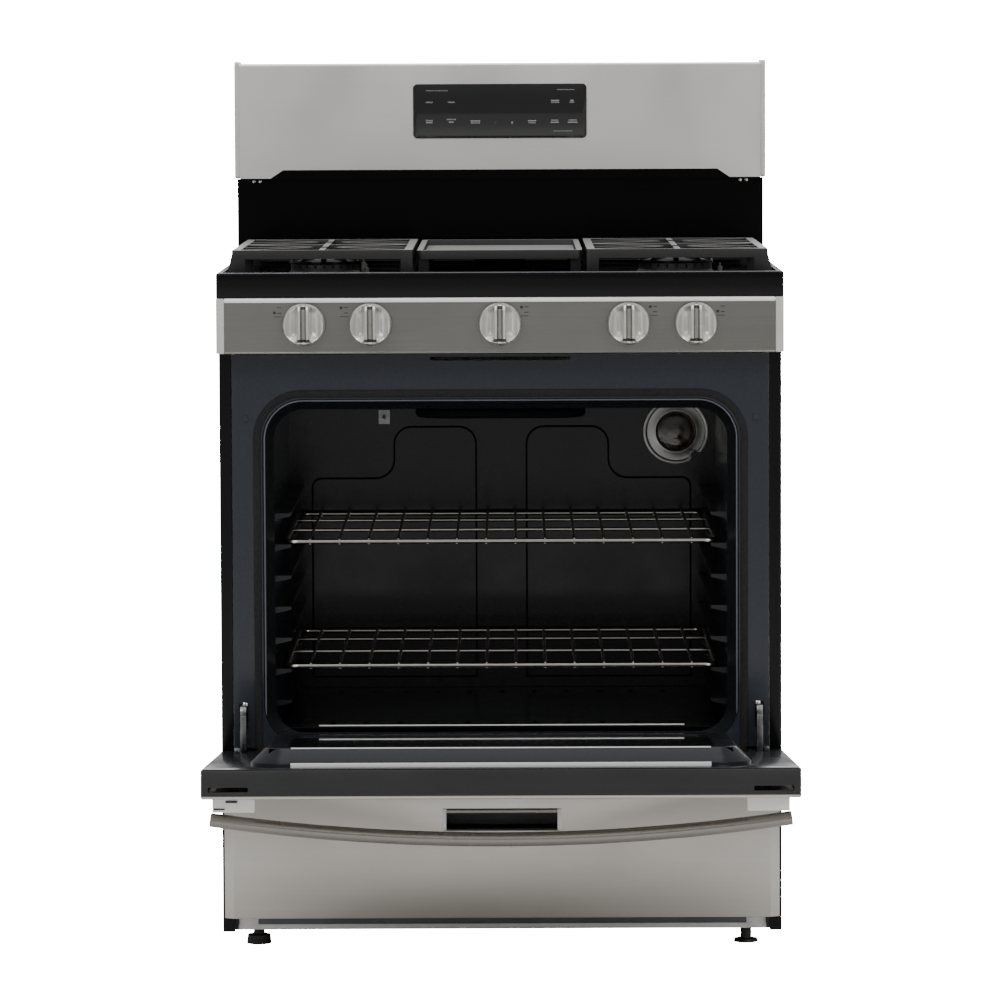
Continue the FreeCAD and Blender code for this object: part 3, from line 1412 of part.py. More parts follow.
os.makedirs("parts", exist_ok=True)
for item in nodes:
    item.Shape.exportStep(f"parts/{item.Label}.step")
print(f"{len(nodes)} nodes written")
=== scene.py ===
import bmesh
import bpy
import json
import math
from mathutils import Matrix, Vector


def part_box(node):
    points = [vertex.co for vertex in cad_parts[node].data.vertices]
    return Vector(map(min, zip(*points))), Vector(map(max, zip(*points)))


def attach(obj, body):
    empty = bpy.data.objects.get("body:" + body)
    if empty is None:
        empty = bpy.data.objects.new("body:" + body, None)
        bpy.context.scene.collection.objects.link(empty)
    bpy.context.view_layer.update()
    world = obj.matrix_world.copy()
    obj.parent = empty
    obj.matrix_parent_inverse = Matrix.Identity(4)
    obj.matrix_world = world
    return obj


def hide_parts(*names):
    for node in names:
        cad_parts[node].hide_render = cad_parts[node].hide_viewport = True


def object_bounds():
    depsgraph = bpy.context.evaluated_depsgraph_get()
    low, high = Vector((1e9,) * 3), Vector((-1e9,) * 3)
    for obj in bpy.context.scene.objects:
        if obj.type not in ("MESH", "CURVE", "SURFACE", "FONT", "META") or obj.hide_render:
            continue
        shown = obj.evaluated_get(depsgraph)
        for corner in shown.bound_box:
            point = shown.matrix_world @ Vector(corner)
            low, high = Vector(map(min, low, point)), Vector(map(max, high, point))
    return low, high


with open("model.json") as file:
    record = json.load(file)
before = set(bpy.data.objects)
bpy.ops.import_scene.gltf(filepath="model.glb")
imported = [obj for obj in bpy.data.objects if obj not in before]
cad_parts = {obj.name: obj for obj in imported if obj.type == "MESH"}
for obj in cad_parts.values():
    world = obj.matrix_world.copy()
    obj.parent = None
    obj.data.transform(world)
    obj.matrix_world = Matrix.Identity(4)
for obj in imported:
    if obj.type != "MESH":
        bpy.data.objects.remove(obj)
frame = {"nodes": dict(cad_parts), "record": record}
CAD_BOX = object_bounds()

# %% [markdown]
# # A freestanding gas range
# The range stands on its four feet with its oven door open. Every place and size below comes from
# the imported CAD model. This file gives each piece its finish, and swaps the plain CAD shape for a
# finer one where the real piece has soft edges, small marks or a shape that light shows up.

# %% What the model holds
low, high = CAD_BOX
print("size", [round(high[i] - low[i], 3) for i in range(3)])
MM = 0.001
SIDES = {"left": -1, "right": 1}
KNOBS = ("left_front", "left_rear", "centre", "right_rear", "right_front")

# %% [markdown]
# ## The camera and the studio
# The view is from straight ahead, a little above the cooktop, through a long lens that keeps the
# sides of the cabinet upright. The light is a pale room with broad panels, as for a catalogue.

# %% The camera
CAMERA_PLACE = Vector((0.0170, -7.7250, 1.1870))
CAMERA_PITCH = 0.07549
CAMERA_YAW = -0.00233
CAMERA_ROLL = -0.00416
LENS_MM = 206.1

camera_data = bpy.data.cameras.new("studio_camera")
camera_data.lens = LENS_MM
camera_data.sensor_width = 36.0
camera_data.clip_end = 60.0
camera = bpy.data.objects.new("studio_camera", camera_data)
bpy.context.scene.collection.objects.link(camera)
turn = Matrix.Rotation(-CAMERA_YAW, 4, "Z") @ Matrix.Rotation(math.pi / 2 - CAMERA_PITCH, 4, "X")
camera.matrix_world = Matrix.Translation(CAMERA_PLACE) @ turn @ Matrix.Rotation(CAMERA_ROLL, 4, "Z")
bpy.context.scene.camera = camera
print("camera at", [round(v, 3) for v in camera.location])

# %% [markdown]
# The room is grey where the pieces mirror it and pale above, and white where it is seen straight on.
# Four broad panels light the range: a key, a fill, one from above and one from behind.

# %% The floor and the light
ROOM_GREY = 0.30
CEILING = 0.80
BACKDROP = 24.0


def soft_panel(name, place, aim, width, height, power):
    """A broad rectangular light that points at a spot."""
    light = bpy.data.lights.new(name, "AREA")
    light.shape = "RECTANGLE"
    light.size = width
    light.size_y = height
    light.energy = power
    lamp = bpy.data.objects.new(name, light)
    lamp.location = place
    lamp.rotation_euler = (Vector(aim) - Vector(place)).to_track_quat("-Z", "Y").to_euler()
    lamp.visible_camera = False
    bpy.context.scene.collection.objects.link(lamp)


soft_panel("key_panel", (-2.2, -3.6, 3.4), (0, 0, 0.7), 2.4, 1.8, 75)
soft_panel("fill_panel", (2.6, -3.2, 2.4), (0, 0, 0.6), 2.0, 2.0, 46)
soft_panel("top_panel", (0, 0.2, 3.6), (0, 0, 0), 3.2, 2.4, 45)
soft_panel("back_panel", (0.5, 4.0, 2.2), (0, 0, 0.7), 3.0, 2.0, 60)

world = bpy.data.worlds.new("studio_room")
bpy.context.scene.world = world
world.use_nodes = True
room = world.node_tree
room.nodes.clear()
seen = room.nodes.new("ShaderNodeLightPath")
mix = room.nodes.new("ShaderNodeMix")
mix.data_type = "RGBA"
mix.inputs["B"].default_value = (BACKDROP, BACKDROP, BACKDROP, 1)
facing = room.nodes.new("ShaderNodeTexCoord")
parts = room.nodes.new("ShaderNodeSeparateXYZ")
height = room.nodes.new("ShaderNodeMapRange")
height.interpolation_type = "SMOOTHSTEP"
height.inputs["From Min"].default_value = 0.1
height.inputs["From Max"].default_value = 0.85
height.inputs["To Min"].default_value = ROOM_GREY
height.inputs["To Max"].default_value = CEILING
room.links.new(facing.outputs["Generated"], parts.inputs["Vector"])
room.links.new(parts.outputs["Z"], height.inputs["Value"])
room.links.new(height.outputs["Result"], mix.inputs["A"])
back = room.nodes.new("ShaderNodeBackground")
out = room.nodes.new("ShaderNodeOutputWorld")
room.links.new(seen.outputs["Is Camera Ray"], mix.inputs["Factor"])
room.links.new(mix.outputs["Result"], back.inputs["Color"])
room.links.new(back.outputs["Background"], out.inputs["Surface"])

floor_mesh = bpy.data.meshes.new("studio_floor")
reach = 30
floor_mesh.from_pydata([(-reach, -reach, 0), (reach, -reach, 0), (reach, reach, 0), (-reach, reach, 0)], [],
                       [(0, 1, 2, 3)])
floor = bpy.data.objects.new("studio_floor", floor_mesh)
bpy.context.scene.collection.objects.link(floor)

# %% [markdown]
# ## Effects that several finishes share
# Each effect is one node group with named inputs. Brushed lines are noise pulled out long in one
# direction. Smudges are large soft noise that moves the roughness. Speckle is the fine grain of
# enamel and casting. Every group reads Object coordinates, so a pattern stays on its piece.

# %% Making a node group
def effect(name, inputs, outputs):
    """An empty shader group with its sockets, and its two end nodes."""
    tree = bpy.data.node_groups.new(name, "ShaderNodeTree")
    for label, kind, value in inputs:
        socket = tree.interface.new_socket(label, in_out="INPUT", socket_type=kind)
        if value is not None:
            socket.default_value = value
    for label, kind in outputs:
        tree.interface.new_socket(label, in_out="OUTPUT", socket_type=kind)
    return tree, tree.nodes.new("NodeGroupInput"), tree.nodes.new("NodeGroupOutput")


FLOAT = "NodeSocketFloat"
VECTOR = "NodeSocketVector"


def noise_into(tree, vector, scale, detail, rough=0.55):
    node = tree.nodes.new("ShaderNodeTexNoise")
    node.inputs["Scale"].default_value = scale
    node.inputs["Detail"].default_value = detail
    node.inputs["Roughness"].default_value = rough
    tree.links.new(vector, node.inputs["Vector"])
    return node


# %% [markdown]
# The brushed lines mix a fine noise with a wide one, both stretched along the way of the brush.

# %% Brushed lines
brushed, given, result = effect(
    "brushed_lines",
    [("Place", VECTOR, None), ("Stretch", VECTOR, (1.0, 60.0, 60.0)), ("Contrast", FLOAT, 0.5)],
    [("Tone", FLOAT), ("Height", FLOAT)],
)
pull = brushed.nodes.new("ShaderNodeVectorMath")
pull.operation = "MULTIPLY"
brushed.links.new(given.outputs["Place"], pull.inputs[0])
brushed.links.new(given.outputs["Stretch"], pull.inputs[1])
fine = noise_into(brushed, pull.outputs["Vector"], 18.0, 4.0, 0.7)
wide = noise_into(brushed, pull.outputs["Vector"], 3.0, 2.0)
both = brushed.nodes.new("ShaderNodeMath")
both.operation = "MULTIPLY_ADD"
both.inputs[1].default_value = 0.7
brushed.links.new(fine.outputs["Fac"], both.inputs[0])
part = brushed.nodes.new("ShaderNodeMath")
part.operation = "MULTIPLY"
part.inputs[1].default_value = 0.3
brushed.links.new(wide.outputs["Fac"], part.inputs[0])
brushed.links.new(part.outputs["Value"], both.inputs[2])
spread = brushed.nodes.new("ShaderNodeMath")
spread.operation = "MULTIPLY_ADD"
centre = brushed.nodes.new("ShaderNodeMath")
centre.operation = "SUBTRACT"
centre.inputs[1].default_value = 0.5
brushed.links.new(both.outputs["Value"], centre.inputs[0])
brushed.links.new(centre.outputs["Value"], spread.inputs[0])
brushed.links.new(given.outputs["Contrast"], spread.inputs[1])
spread.inputs[2].default_value = 0.5
brushed.links.new(spread.outputs["Value"], result.inputs["Tone"])
brushed.links.new(both.outputs["Value"], result.inputs["Height"])

# %% [markdown]
# Smudges give a roughness between two limits. Speckle marks the middles of small cells.

# %% Smudges and speckle
smudges, given, result = effect(
    "soft_smudges",
    [("Place", VECTOR, None), ("Scale", FLOAT, 4.0), ("Low", FLOAT, 0.2), ("High", FLOAT, 0.35)],
    [("Rough", FLOAT), ("Mask", FLOAT)],
)
cloud = noise_into(smudges, given.outputs["Place"], 4.0, 3.0)
smudges.links.new(given.outputs["Scale"], cloud.inputs["Scale"])
lift = smudges.nodes.new("ShaderNodeMapRange")
lift.inputs["From Min"].default_value = 0.3
lift.inputs["From Max"].default_value = 0.7
smudges.links.new(cloud.outputs["Fac"], lift.inputs["Value"])
smudges.links.new(given.outputs["Low"], lift.inputs["To Min"])
smudges.links.new(given.outputs["High"], lift.inputs["To Max"])
smudges.links.new(lift.outputs["Result"], result.inputs["Rough"])
smudges.links.new(cloud.outputs["Fac"], result.inputs["Mask"])

speckle, given, result = effect(
    "fine_speckle",
    [("Place", VECTOR, None), ("Scale", FLOAT, 900.0), ("Cover", FLOAT, 0.35)],
    [("Mask", FLOAT), ("Height", FLOAT)],
)
cells = speckle.nodes.new("ShaderNodeTexVoronoi")
speckle.links.new(given.outputs["Place"], cells.inputs["Vector"])
speckle.links.new(given.outputs["Scale"], cells.inputs["Scale"])
dots = speckle.nodes.new("ShaderNodeMath")
dots.operation = "LESS_THAN"
speckle.links.new(cells.outputs["Distance"], dots.inputs[0])
speckle.links.new(given.outputs["Cover"], dots.inputs[1])
speckle.links.new(dots.outputs["Value"], result.inputs["Mask"])
speckle.links.new(cells.outputs["Distance"], result.inputs["Height"])
print("effects", [tree.name for tree in bpy.data.node_groups])

# %% [markdown]
# ## The finishes
# One helper lays out a finish: a base colour that an effect mask shifts towards a second colour, a
# roughness range from the smudges, and a bump. Numbers that are even all over go on the shader.

# %% The helper for a finish
def finish_of(name, base, second, rough, metallic=0.0, effect_name="soft_smudges", bump=0.0, depth=0.0005,
              stretch=None, contrast=0.5, scale=6.0, cover=0.35, **even):
    """A material with a two-tone base, a roughness range and a bump from one of the effects."""
    material = bpy.data.materials.new(name)
    material.use_nodes = True
    tree = material.node_tree
    shader = tree.nodes["Principled BSDF"]
    place = tree.nodes.new("ShaderNodeTexCoord").outputs["Object"]
    shader.inputs["Metallic"].default_value = metallic
    for label, value in even.items():
        shader.inputs[label.replace("_", " ")].default_value = value
    cloud_node = tree.nodes.new("ShaderNodeGroup")
    cloud_node.node_tree = bpy.data.node_groups["soft_smudges"]
    cloud_node.inputs["Scale"].default_value = scale
    cloud_node.inputs["Low"].default_value = rough[0]
    cloud_node.inputs["High"].default_value = rough[1]
    tree.links.new(place, cloud_node.inputs["Place"])
    tree.links.new(cloud_node.outputs["Rough"], shader.inputs["Roughness"])
    node = cloud_node
    factor = cloud_node.outputs["Mask"]
    height = cloud_node.outputs["Mask"]
    if effect_name != "soft_smudges":
        node = tree.nodes.new("ShaderNodeGroup")
        node.node_tree = bpy.data.node_groups[effect_name]
        tree.links.new(place, node.inputs["Place"])
        factor = node.outputs[0]
        height = node.outputs["Height"]
    if effect_name == "brushed_lines":
        node.inputs["Stretch"].default_value = stretch or (1.0, 60.0, 60.0)
        node.inputs["Contrast"].default_value = contrast
    if effect_name == "fine_speckle":
        node.inputs["Scale"].default_value = scale * 150
        node.inputs["Cover"].default_value = cover
    blend = tree.nodes.new("ShaderNodeMix")
    blend.data_type = "RGBA"
    blend.inputs["A"].default_value = (*base, 1)
    blend.inputs["B"].default_value = (*second, 1)
    tree.links.new(factor, blend.inputs["Factor"])
    tree.links.new(blend.outputs["Result"], shader.inputs["Base Color"])
    if bump:
        relief = tree.nodes.new("ShaderNodeBump")
        relief.inputs["Strength"].default_value = bump
        relief.inputs["Distance"].default_value = depth
        tree.links.new(height, relief.inputs["Height"])
        tree.links.new(relief.outputs["Normal"], shader.inputs["Normal"])
    return material


# %% [markdown]
# Each metal is a pair of close tones, a range of roughness, and the effect that breaks it up.

# %% Steel and other metals
FINISH = {}
ALONG_X = (0.6, 90.0, 90.0)
FINISH["stainless"] = finish_of(
    "brushed_stainless", (0.52, 0.494, 0.452), (0.63, 0.60, 0.55), (0.27, 0.36), 1.0, "brushed_lines",
    bump=0.12, depth=0.0002, stretch=ALONG_X, contrast=1.2)
# A lighter copy of the brushed stainless for the backguard: painted light.
FINISH["backguard_lit_steel"] = finish_of(
    "backguard_lit_stainless", (0.80, 0.79, 0.755), (0.90, 0.89, 0.85), (0.30, 0.40), 1.0, "brushed_lines",
    bump=0.10, depth=0.0002, stretch=ALONG_X, contrast=1.0)
# A darker copy of the brushed stainless: painted shade on the handle bar. It also colours thin painted lines
# at the foot of the fascia and along the top of the drawer pull.
FINISH["shaded_steel"] = finish_of(
    "shaded_stainless", (0.235, 0.222, 0.198), (0.30, 0.284, 0.254), (0.24, 0.34), 1.0, "brushed_lines",
    bump=0.08, depth=0.0002, stretch=ALONG_X, contrast=1.0)
# A darker copy of the galvanised sheet for the base rail: painted shade under the drawer.
FINISH["rail_painted_shade"] = finish_of(
    "galvanised_rail_shade", (0.09, 0.093, 0.10), (0.14, 0.145, 0.152), (0.3, 0.5), 1.0, scale=38.0, bump=0.1,
    depth=0.0003)
FINISH["fascia_steel"] = finish_of(
    "fascia_steel", (0.200, 0.196, 0.183), (0.265, 0.260, 0.243), (0.3, 0.4), 1.0, "brushed_lines",
    bump=0.12, depth=0.0002, stretch=ALONG_X, contrast=1.2)
FINISH["galvanised"] = finish_of(
    "galvanised_sheet", (0.42, 0.44, 0.47), (0.62, 0.64, 0.67), (0.25, 0.5), 1.0, scale=38.0,
    bump=0.1, depth=0.0003)
FINISH["chrome_wire"] = finish_of(
    "plated_wire", (0.44, 0.415, 0.37), (0.56, 0.535, 0.49), (0.10, 0.22), 1.0, scale=50.0)
FINISH["zinc"] = finish_of("zinc_screw", (0.6, 0.6, 0.58), (0.75, 0.75, 0.72), (0.2, 0.35), 1.0, scale=90.0)
FINISH["brass"] = finish_of(
    "valve_brass", (0.6, 0.42, 0.16), (0.72, 0.54, 0.24), (0.25, 0.4), 1.0, scale=40.0)
FINISH["valve_steel"] = finish_of(
    "valve_steel", (0.45, 0.45, 0.45), (0.6, 0.6, 0.6), (0.25, 0.4), 1.0, scale=80.0)
FINISH["burner_aluminium"] = finish_of(
    "cast_aluminium", (0.34, 0.34, 0.34), (0.5, 0.5, 0.49), (0.38, 0.55), 1.0, "fine_speckle",
    bump=0.35, depth=0.0004, scale=5.0)
FINISH["lamp_ring"] = finish_of(
    "spun_aluminium", (0.40, 0.40, 0.385), (0.56, 0.56, 0.54), (0.3, 0.42), 0.9, scale=30.0, bump=0.1)
FINISH["knob_metal"] = finish_of(
    "knob_brushed", (0.72, 0.71, 0.68), (0.86, 0.85, 0.82), (0.26, 0.36), 1.0, "brushed_lines",
    bump=0.1, depth=0.0001, stretch=(60.0, 60.0, 3.0), contrast=1.0)

# %% [markdown]
# Enamel is dark with a fine speckle and a low gloss. Cast iron is matt, with a painted highlight on its
# upward faces.

# %% Enamel, glass, iron and the rest
FINISH["blue_enamel"] = finish_of(
    "blue_black_enamel", (0.016, 0.019, 0.026), (0.03, 0.034, 0.043), (0.1, 0.2), 0.0, "fine_speckle",
    bump=0.02, depth=0.0002, scale=8.0, Specular_IOR_Level=0.42, Coat_Weight=0.12, Coat_Roughness=0.05)
FINISH["cavity_enamel"] = finish_of(
    "cavity_enamel", (0.007, 0.0077, 0.009), (0.015, 0.0165, 0.019), (0.12, 0.24), 0.0, "fine_speckle",
    bump=0.03, depth=0.0002, scale=8.0, Specular_IOR_Level=0.38)
FINISH["black_enamel"] = finish_of(
    "gloss_black_enamel", (0.0015, 0.0015, 0.0016), (0.003, 0.003, 0.0032), (0.08, 0.16), 0.0, scale=5.0,
    bump=0.02, depth=0.0004, Specular_IOR_Level=0.22)
FINISH["cast_iron"] = finish_of(
    "cast_iron", (0.006, 0.006, 0.0065), (0.014, 0.014, 0.0145), (0.42, 0.54), 0.0, "fine_speckle",
    bump=0.2, depth=0.0003, scale=6.0, Specular_IOR_Level=0.5)
# Faces that look up get a lighter colour, a painted highlight from the light above, so the colour of the iron
# follows the upward normal.
iron = FINISH["cast_iron"].node_tree
tops = iron.nodes.new("ShaderNodeSeparateXYZ")
top_light_ramp = iron.nodes.new("ShaderNodeMapRange")
top_light_ramp.inputs["From Min"].default_value = 0.80
top_light_ramp.inputs["From Max"].default_value = 0.98
painted_top_light = iron.nodes.new("ShaderNodeMix")
painted_top_light.data_type = "RGBA"
painted_top_light.inputs["B"].default_value = (0.24, 0.238, 0.228, 1)
iron.links.new(iron.nodes.new("ShaderNodeNewGeometry").outputs["Normal"], tops.inputs["Vector"])
iron.links.new(tops.outputs["Z"], top_light_ramp.inputs["Value"])
iron.links.new(top_light_ramp.outputs["Result"], painted_top_light.inputs["Factor"])
iron_shader = iron.nodes["Principled BSDF"]
iron.links.new(iron_shader.inputs["Base Color"].links[0].from_socket, painted_top_light.inputs["A"])
iron.links.new(painted_top_light.outputs["Result"], iron_shader.inputs["Base Color"])
FINISH["burner_black"] = finish_of(
    "oven_burner_black", (0.003, 0.003, 0.003), (0.007, 0.007, 0.007), (0.7, 0.85), 0.0, "fine_speckle",
    bump=0.2, depth=0.0002, scale=7.0, Specular_IOR_Level=0.1)
FINISH["light_trim"] = finish_of(
    "silver_moulding", (0.56, 0.56, 0.545), (0.63, 0.63, 0.615), (0.28, 0.4), 0.25, scale=25.0, bump=0.05)
FINISH["black_trim"] = finish_of(
    "satin_black", (0.009, 0.009, 0.009), (0.016, 0.016, 0.016), (0.38, 0.5), 0.0, "fine_speckle", bump=0.15,
    depth=0.0002, scale=9.0)
FINISH["touch_glass"] = finish_of(
    "touch_glass", (0.005, 0.005, 0.006), (0.010, 0.010, 0.011), (0.05, 0.12), 0.0, scale=9.0,
    Coat_Weight=0.4, Coat_Roughness=0.03)
FINISH["tinted_glass"] = finish_of(
    "tinted_glass", (0.02, 0.021, 0.024), (0.03, 0.031, 0.035), (0.03, 0.08), 0.0, scale=5.0,
    Coat_Weight=1.0, Coat_Roughness=0.02)
# The spark igniters get a dark grey rather than the off-white of their ceramic: painted shade under the
# burner caps.
FINISH["ceramic"] = finish_of(
    "ceramic_in_shade", (0.10, 0.097, 0.09), (0.15, 0.145, 0.135), (0.3, 0.45), scale=70.0)
FINISH["dark_head"] = finish_of(
    "dark_burner_head", (0.02, 0.02, 0.02), (0.036, 0.036, 0.0355), (0.4, 0.55), 0.6, "fine_speckle",
    bump=0.3, depth=0.0004, scale=6.0)
FINISH["hinge_steel"] = finish_of(
    "hinge_steel", (0.20, 0.20, 0.205), (0.34, 0.34, 0.345), (0.22, 0.4), 1.0, scale=60.0,
    bump=0.1, depth=0.0003)
# A near-white finish for painted highlights: thin strips along lit edges, the base corner brackets and the
# handle brackets.
FINISH["painted_highlight"] = finish_of(
    "painted_highlight", (0.90, 0.895, 0.87), (0.94, 0.935, 0.91), (0.34, 0.40), 0.15, scale=6.0)
# A lighter enamel for painted highlights: the rim of the cooktop and the rolled edge of the oven mouth.
FINISH["highlight_enamel"] = finish_of(
    "lighter_enamel_for_highlights", (0.09, 0.098, 0.115), (0.13, 0.14, 0.16), (0.12, 0.2), 0.0, scale=14.0,
    Specular_IOR_Level=0.6)
FINISH["door_enamel"] = finish_of(
    "door_liner_enamel", (0.010, 0.0115, 0.015), (0.018, 0.020, 0.026), (0.14, 0.24), 0.0, "fine_speckle",
    bump=0.02, depth=0.0002, scale=8.0, Specular_IOR_Level=0.16)
FINISH["splash_enamel"] = finish_of(
    "splash_enamel", (0.0010, 0.0010, 0.0011), (0.002, 0.002, 0.0021), (0.12, 0.22), 0.0, scale=5.0,
    bump=0.02, depth=0.0004, Specular_IOR_Level=0.10)
FINISH["seal"] = finish_of(
    "woven_seal", (0.006, 0.006, 0.007), (0.016, 0.016, 0.018), (0.6, 0.8), 0.0, "fine_speckle", bump=0.5,
    depth=0.0004, scale=7.0, cover=0.5, Specular_IOR_Level=0.25)
FINISH["insulation"] = finish_of(
    "glass_wool", (0.62, 0.56, 0.36), (0.74, 0.68, 0.46), (0.8, 0.95), 0.0, scale=60.0, bump=0.8, depth=0.003)
FINISH["rubber"] = finish_of(
    "soft_rubber", (0.012, 0.012, 0.012), (0.02, 0.02, 0.02), (0.6, 0.75), scale=90.0)
FINISH["leg_black"] = finish_of(
    "leg_plastic", (0.012, 0.010, 0.009), (0.022, 0.018, 0.016), (0.35, 0.5), 0.0, "fine_speckle", bump=0.15,
    depth=0.0003, scale=7.0)
FINISH["mark_grey"] = finish_of(
    "printed_mark", (0.26, 0.26, 0.26), (0.32, 0.32, 0.32), (0.5, 0.6), scale=90.0)
FINISH["mark_black"] = finish_of(
    "black_mark", (0.01, 0.01, 0.01), (0.02, 0.02, 0.02), (0.4, 0.5), scale=90.0)
FINISH["mark_red"] = finish_of("red_mark", (0.30, 0.06, 0.05), (0.36, 0.08, 0.06), (0.5, 0.6), scale=90.0)
FINISH["floor"] = finish_of("studio_floor", (0.80, 0.80, 0.80), (0.84, 0.84, 0.84), (0.6, 0.75), scale=1.5)
FLOOR_GLOW = 24.0
glow = FINISH["floor"].node_tree
ray = glow.nodes.new("ShaderNodeLightPath")
lift = glow.nodes.new("ShaderNodeMath")
lift.operation = "MULTIPLY"
lift.inputs[1].default_value = FLOOR_GLOW
glow.links.new(ray.outputs["Is Camera Ray"], lift.inputs[0])
glow.nodes["Principled BSDF"].inputs["Emission Color"].default_value = (1, 1, 1, 1)
glow.links.new(lift.outputs["Value"], glow.nodes["Principled BSDF"].inputs["Emission Strength"])
floor.data.materials.append(FINISH["floor"])

# Nodes given a finish other than their slot's. Some are lighter and darker copies of a slot's
# finish: painted light on the backguard, painted shade on the handle bar and the base rail, and a
# painted highlight on the handle brackets.
OWN_FINISH = {
    "backguard_front": "backguard_lit_steel", "handle_bar": "shaded_steel", "base_frame": "rail_painted_shade",
    "burner_heads": "dark_head", "hinge_receivers": "hinge_steel", "door_hinge_plates": "hinge_steel",
    "temperature_probe": "hinge_steel", "oven_burners": "burner_black", "door_liner": "door_enamel",
    "backguard_splash": "splash_enamel", "handle_brackets": "painted_highlight",
}
slot_of = {item["node"]: item["material_slot"] for item in frame["record"]["subparts"]}
for name, piece in frame["nodes"].items():
    for holder in piece.material_slots:
        holder.material = FINISH[OWN_FINISH.get(name, slot_of[name])]
print("finishes", len(FINISH))

# %% [markdown]
# ## Soft edges from the CAD solids
# Pressed, cast and moulded pieces have no knife edges. A copy of the CAD solid is merged, its flat
# faces are joined, and its sharp edges are rounded by a bevel. The copy stands for the CAD node.

# %% Rounding a CAD solid
def body_of(node):
    return next(name for name, nodes in frame["record"]["behaviour"]["bodies"].items() if node in nodes)


def place_piece(piece, body, slot, *nodes):
    """Tie a new piece to its body, and let it stand for CAD nodes. The slot is not used."""
    if piece.name not in bpy.context.scene.collection.objects:
        bpy.context.scene.collection.objects.link(piece)
    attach(piece, body)
    if nodes:
        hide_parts(*nodes)
    return piece


def smooth_sides(mesh, angle=35):
    mesh.shade_smooth()
    mesh.set_sharp_from_angle(angle=math.radians(angle))


def soften(node, width, segments=2, angle=30):
    """A rounded copy of a CAD node that stands for it."""
    source = frame["nodes"][node]
    mesh = bmesh.new()
    mesh.from_mesh(source.data)
    bmesh.ops.remove_doubles(mesh, verts=mesh.verts, dist=1e-5)
    bmesh.ops.dissolve_limit(mesh, angle_limit=math.radians(1), verts=mesh.verts, edges=mesh.edges)
    if node == "drawer_front":
        fold_ends(mesh, FOLD_WIDE, FOLD_BACK)
    limit = math.radians(angle)
    sharp = [e for e in mesh.edges if len(e.link_faces) == 2 and e.calc_face_angle(0) > limit]
    bmesh.ops.bevel(mesh, geom=sharp, offset=width, segments=segments, profile=0.6, affect="EDGES",
                    clamp_overlap=True, offset_type="OFFSET")
    bmesh.ops.triangulate(mesh, faces=[f for f in mesh.faces if len(f.verts) > 4])
    data = bpy.data.meshes.new(f"soft_{node}")
    mesh.to_mesh(data)
    mesh.free()
    smooth_sides(data)
    data.materials.append(FINISH[OWN_FINISH.get(node, slot_of[node])])
    piece = bpy.data.objects.new(f"soft_{node}", data)
    place_piece(piece, body_of(node), slot_of[node], node)
    return piece


def fold_ends(mesh, inward, back):
    """The ends of a sheet's face folded back a little, so that they catch the light from the side."""
    reach = max(abs(vert.co.x) for vert in mesh.verts)
    front = min(vert.co.y for vert in mesh.verts)
    for side in SIDES.values():
        everything = mesh.verts[:] + mesh.edges[:] + mesh.faces[:]
        bmesh.ops.bisect_plane(mesh, geom=everything, plane_co=((reach - inward) * side, 0, 0),
                               plane_no=(side, 0, 0), dist=1e-6)
    for vert in mesh.verts:
        if abs(vert.co.x) > reach - 1e-5 and vert.co.y < front + 1e-5:
            vert.co.y += back


FOLD_WIDE, FOLD_BACK = 12 * MM, 4 * MM
# Nodes that get round edges, and the width of the rounding in millimetres.
SOFT_NODES = {
    "grate_left": 2.4, "grate_right": 2.4, "griddle": 2.0, "cooktop_panel": 0.9,
    "control_panel_end_caps": 1.2,
    "backguard_end_caps": 1.2, "handle_brackets": 1.5, "drawer_front": 0.8, "drawer_pull": 0.6,
    "door_top_trim": 0.8, "door_liner": 1.6, "burner_caps": 1.0, "burner_heads": 0.4, "leg_front_left": 1.0,
    "leg_front_right": 1.0, "leg_rear_left": 1.0, "leg_rear_right": 1.0, "clock_control": 0.6,
    "gas_regulator": 1.0, "hinge_receivers": 0.8, "base_frame": 0.4,
}
for name, width in SOFT_NODES.items():
    piece = soften(name, width * MM)
    print(name, "faces", len(piece.data.polygons))


# %% [markdown]
# ## Mesh makers
# Small helpers build the finer meshes: a profile turned about an axis and a rounded slab. The object
# maker merges their seams and turns their faces outward.

# %% Helpers for finer meshes
def mesh_object(name, mesh, *finishes, angle=35):
    """A finished object from a bmesh: doubles merged, normals outward, smooth with sharp creases."""
    bmesh.ops.remove_doubles(mesh, verts=mesh.verts, dist=1e-6)
    bmesh.ops.recalc_face_normals(mesh, faces=mesh.faces)
    data = bpy.data.meshes.new(name)
    mesh.to_mesh(data)
    mesh.free()
    smooth_sides(data, angle)
    for finish in finishes:
        data.materials.append(finish)
    return bpy.data.objects.new(name, data)


def add_slab(mesh, low, high, round_by=0.0, segments=2, index=0):
    """A box between two corners, its edges rounded."""
    made = bmesh.ops.create_cube(mesh, size=1.0)["verts"]
    size = Vector(high) - Vector(low)
    middle = (Vector(high) + Vector(low)) / 2
    for vert in made:
        vert.co = Vector(vert.co[i] * size[i] for i in range(3)) + middle
    faces = {face for vert in made for face in vert.link_faces}
    for face in faces:
        face.material_index = index
    if round_by:
        edges = list({edge for vert in made for edge in vert.link_edges})
        done = bmesh.ops.bevel(mesh, geom=edges, offset=round_by, segments=segments, profile=0.5,
                               affect="EDGES", clamp_overlap=True)
        for face in done["faces"]:
            face.material_index = index


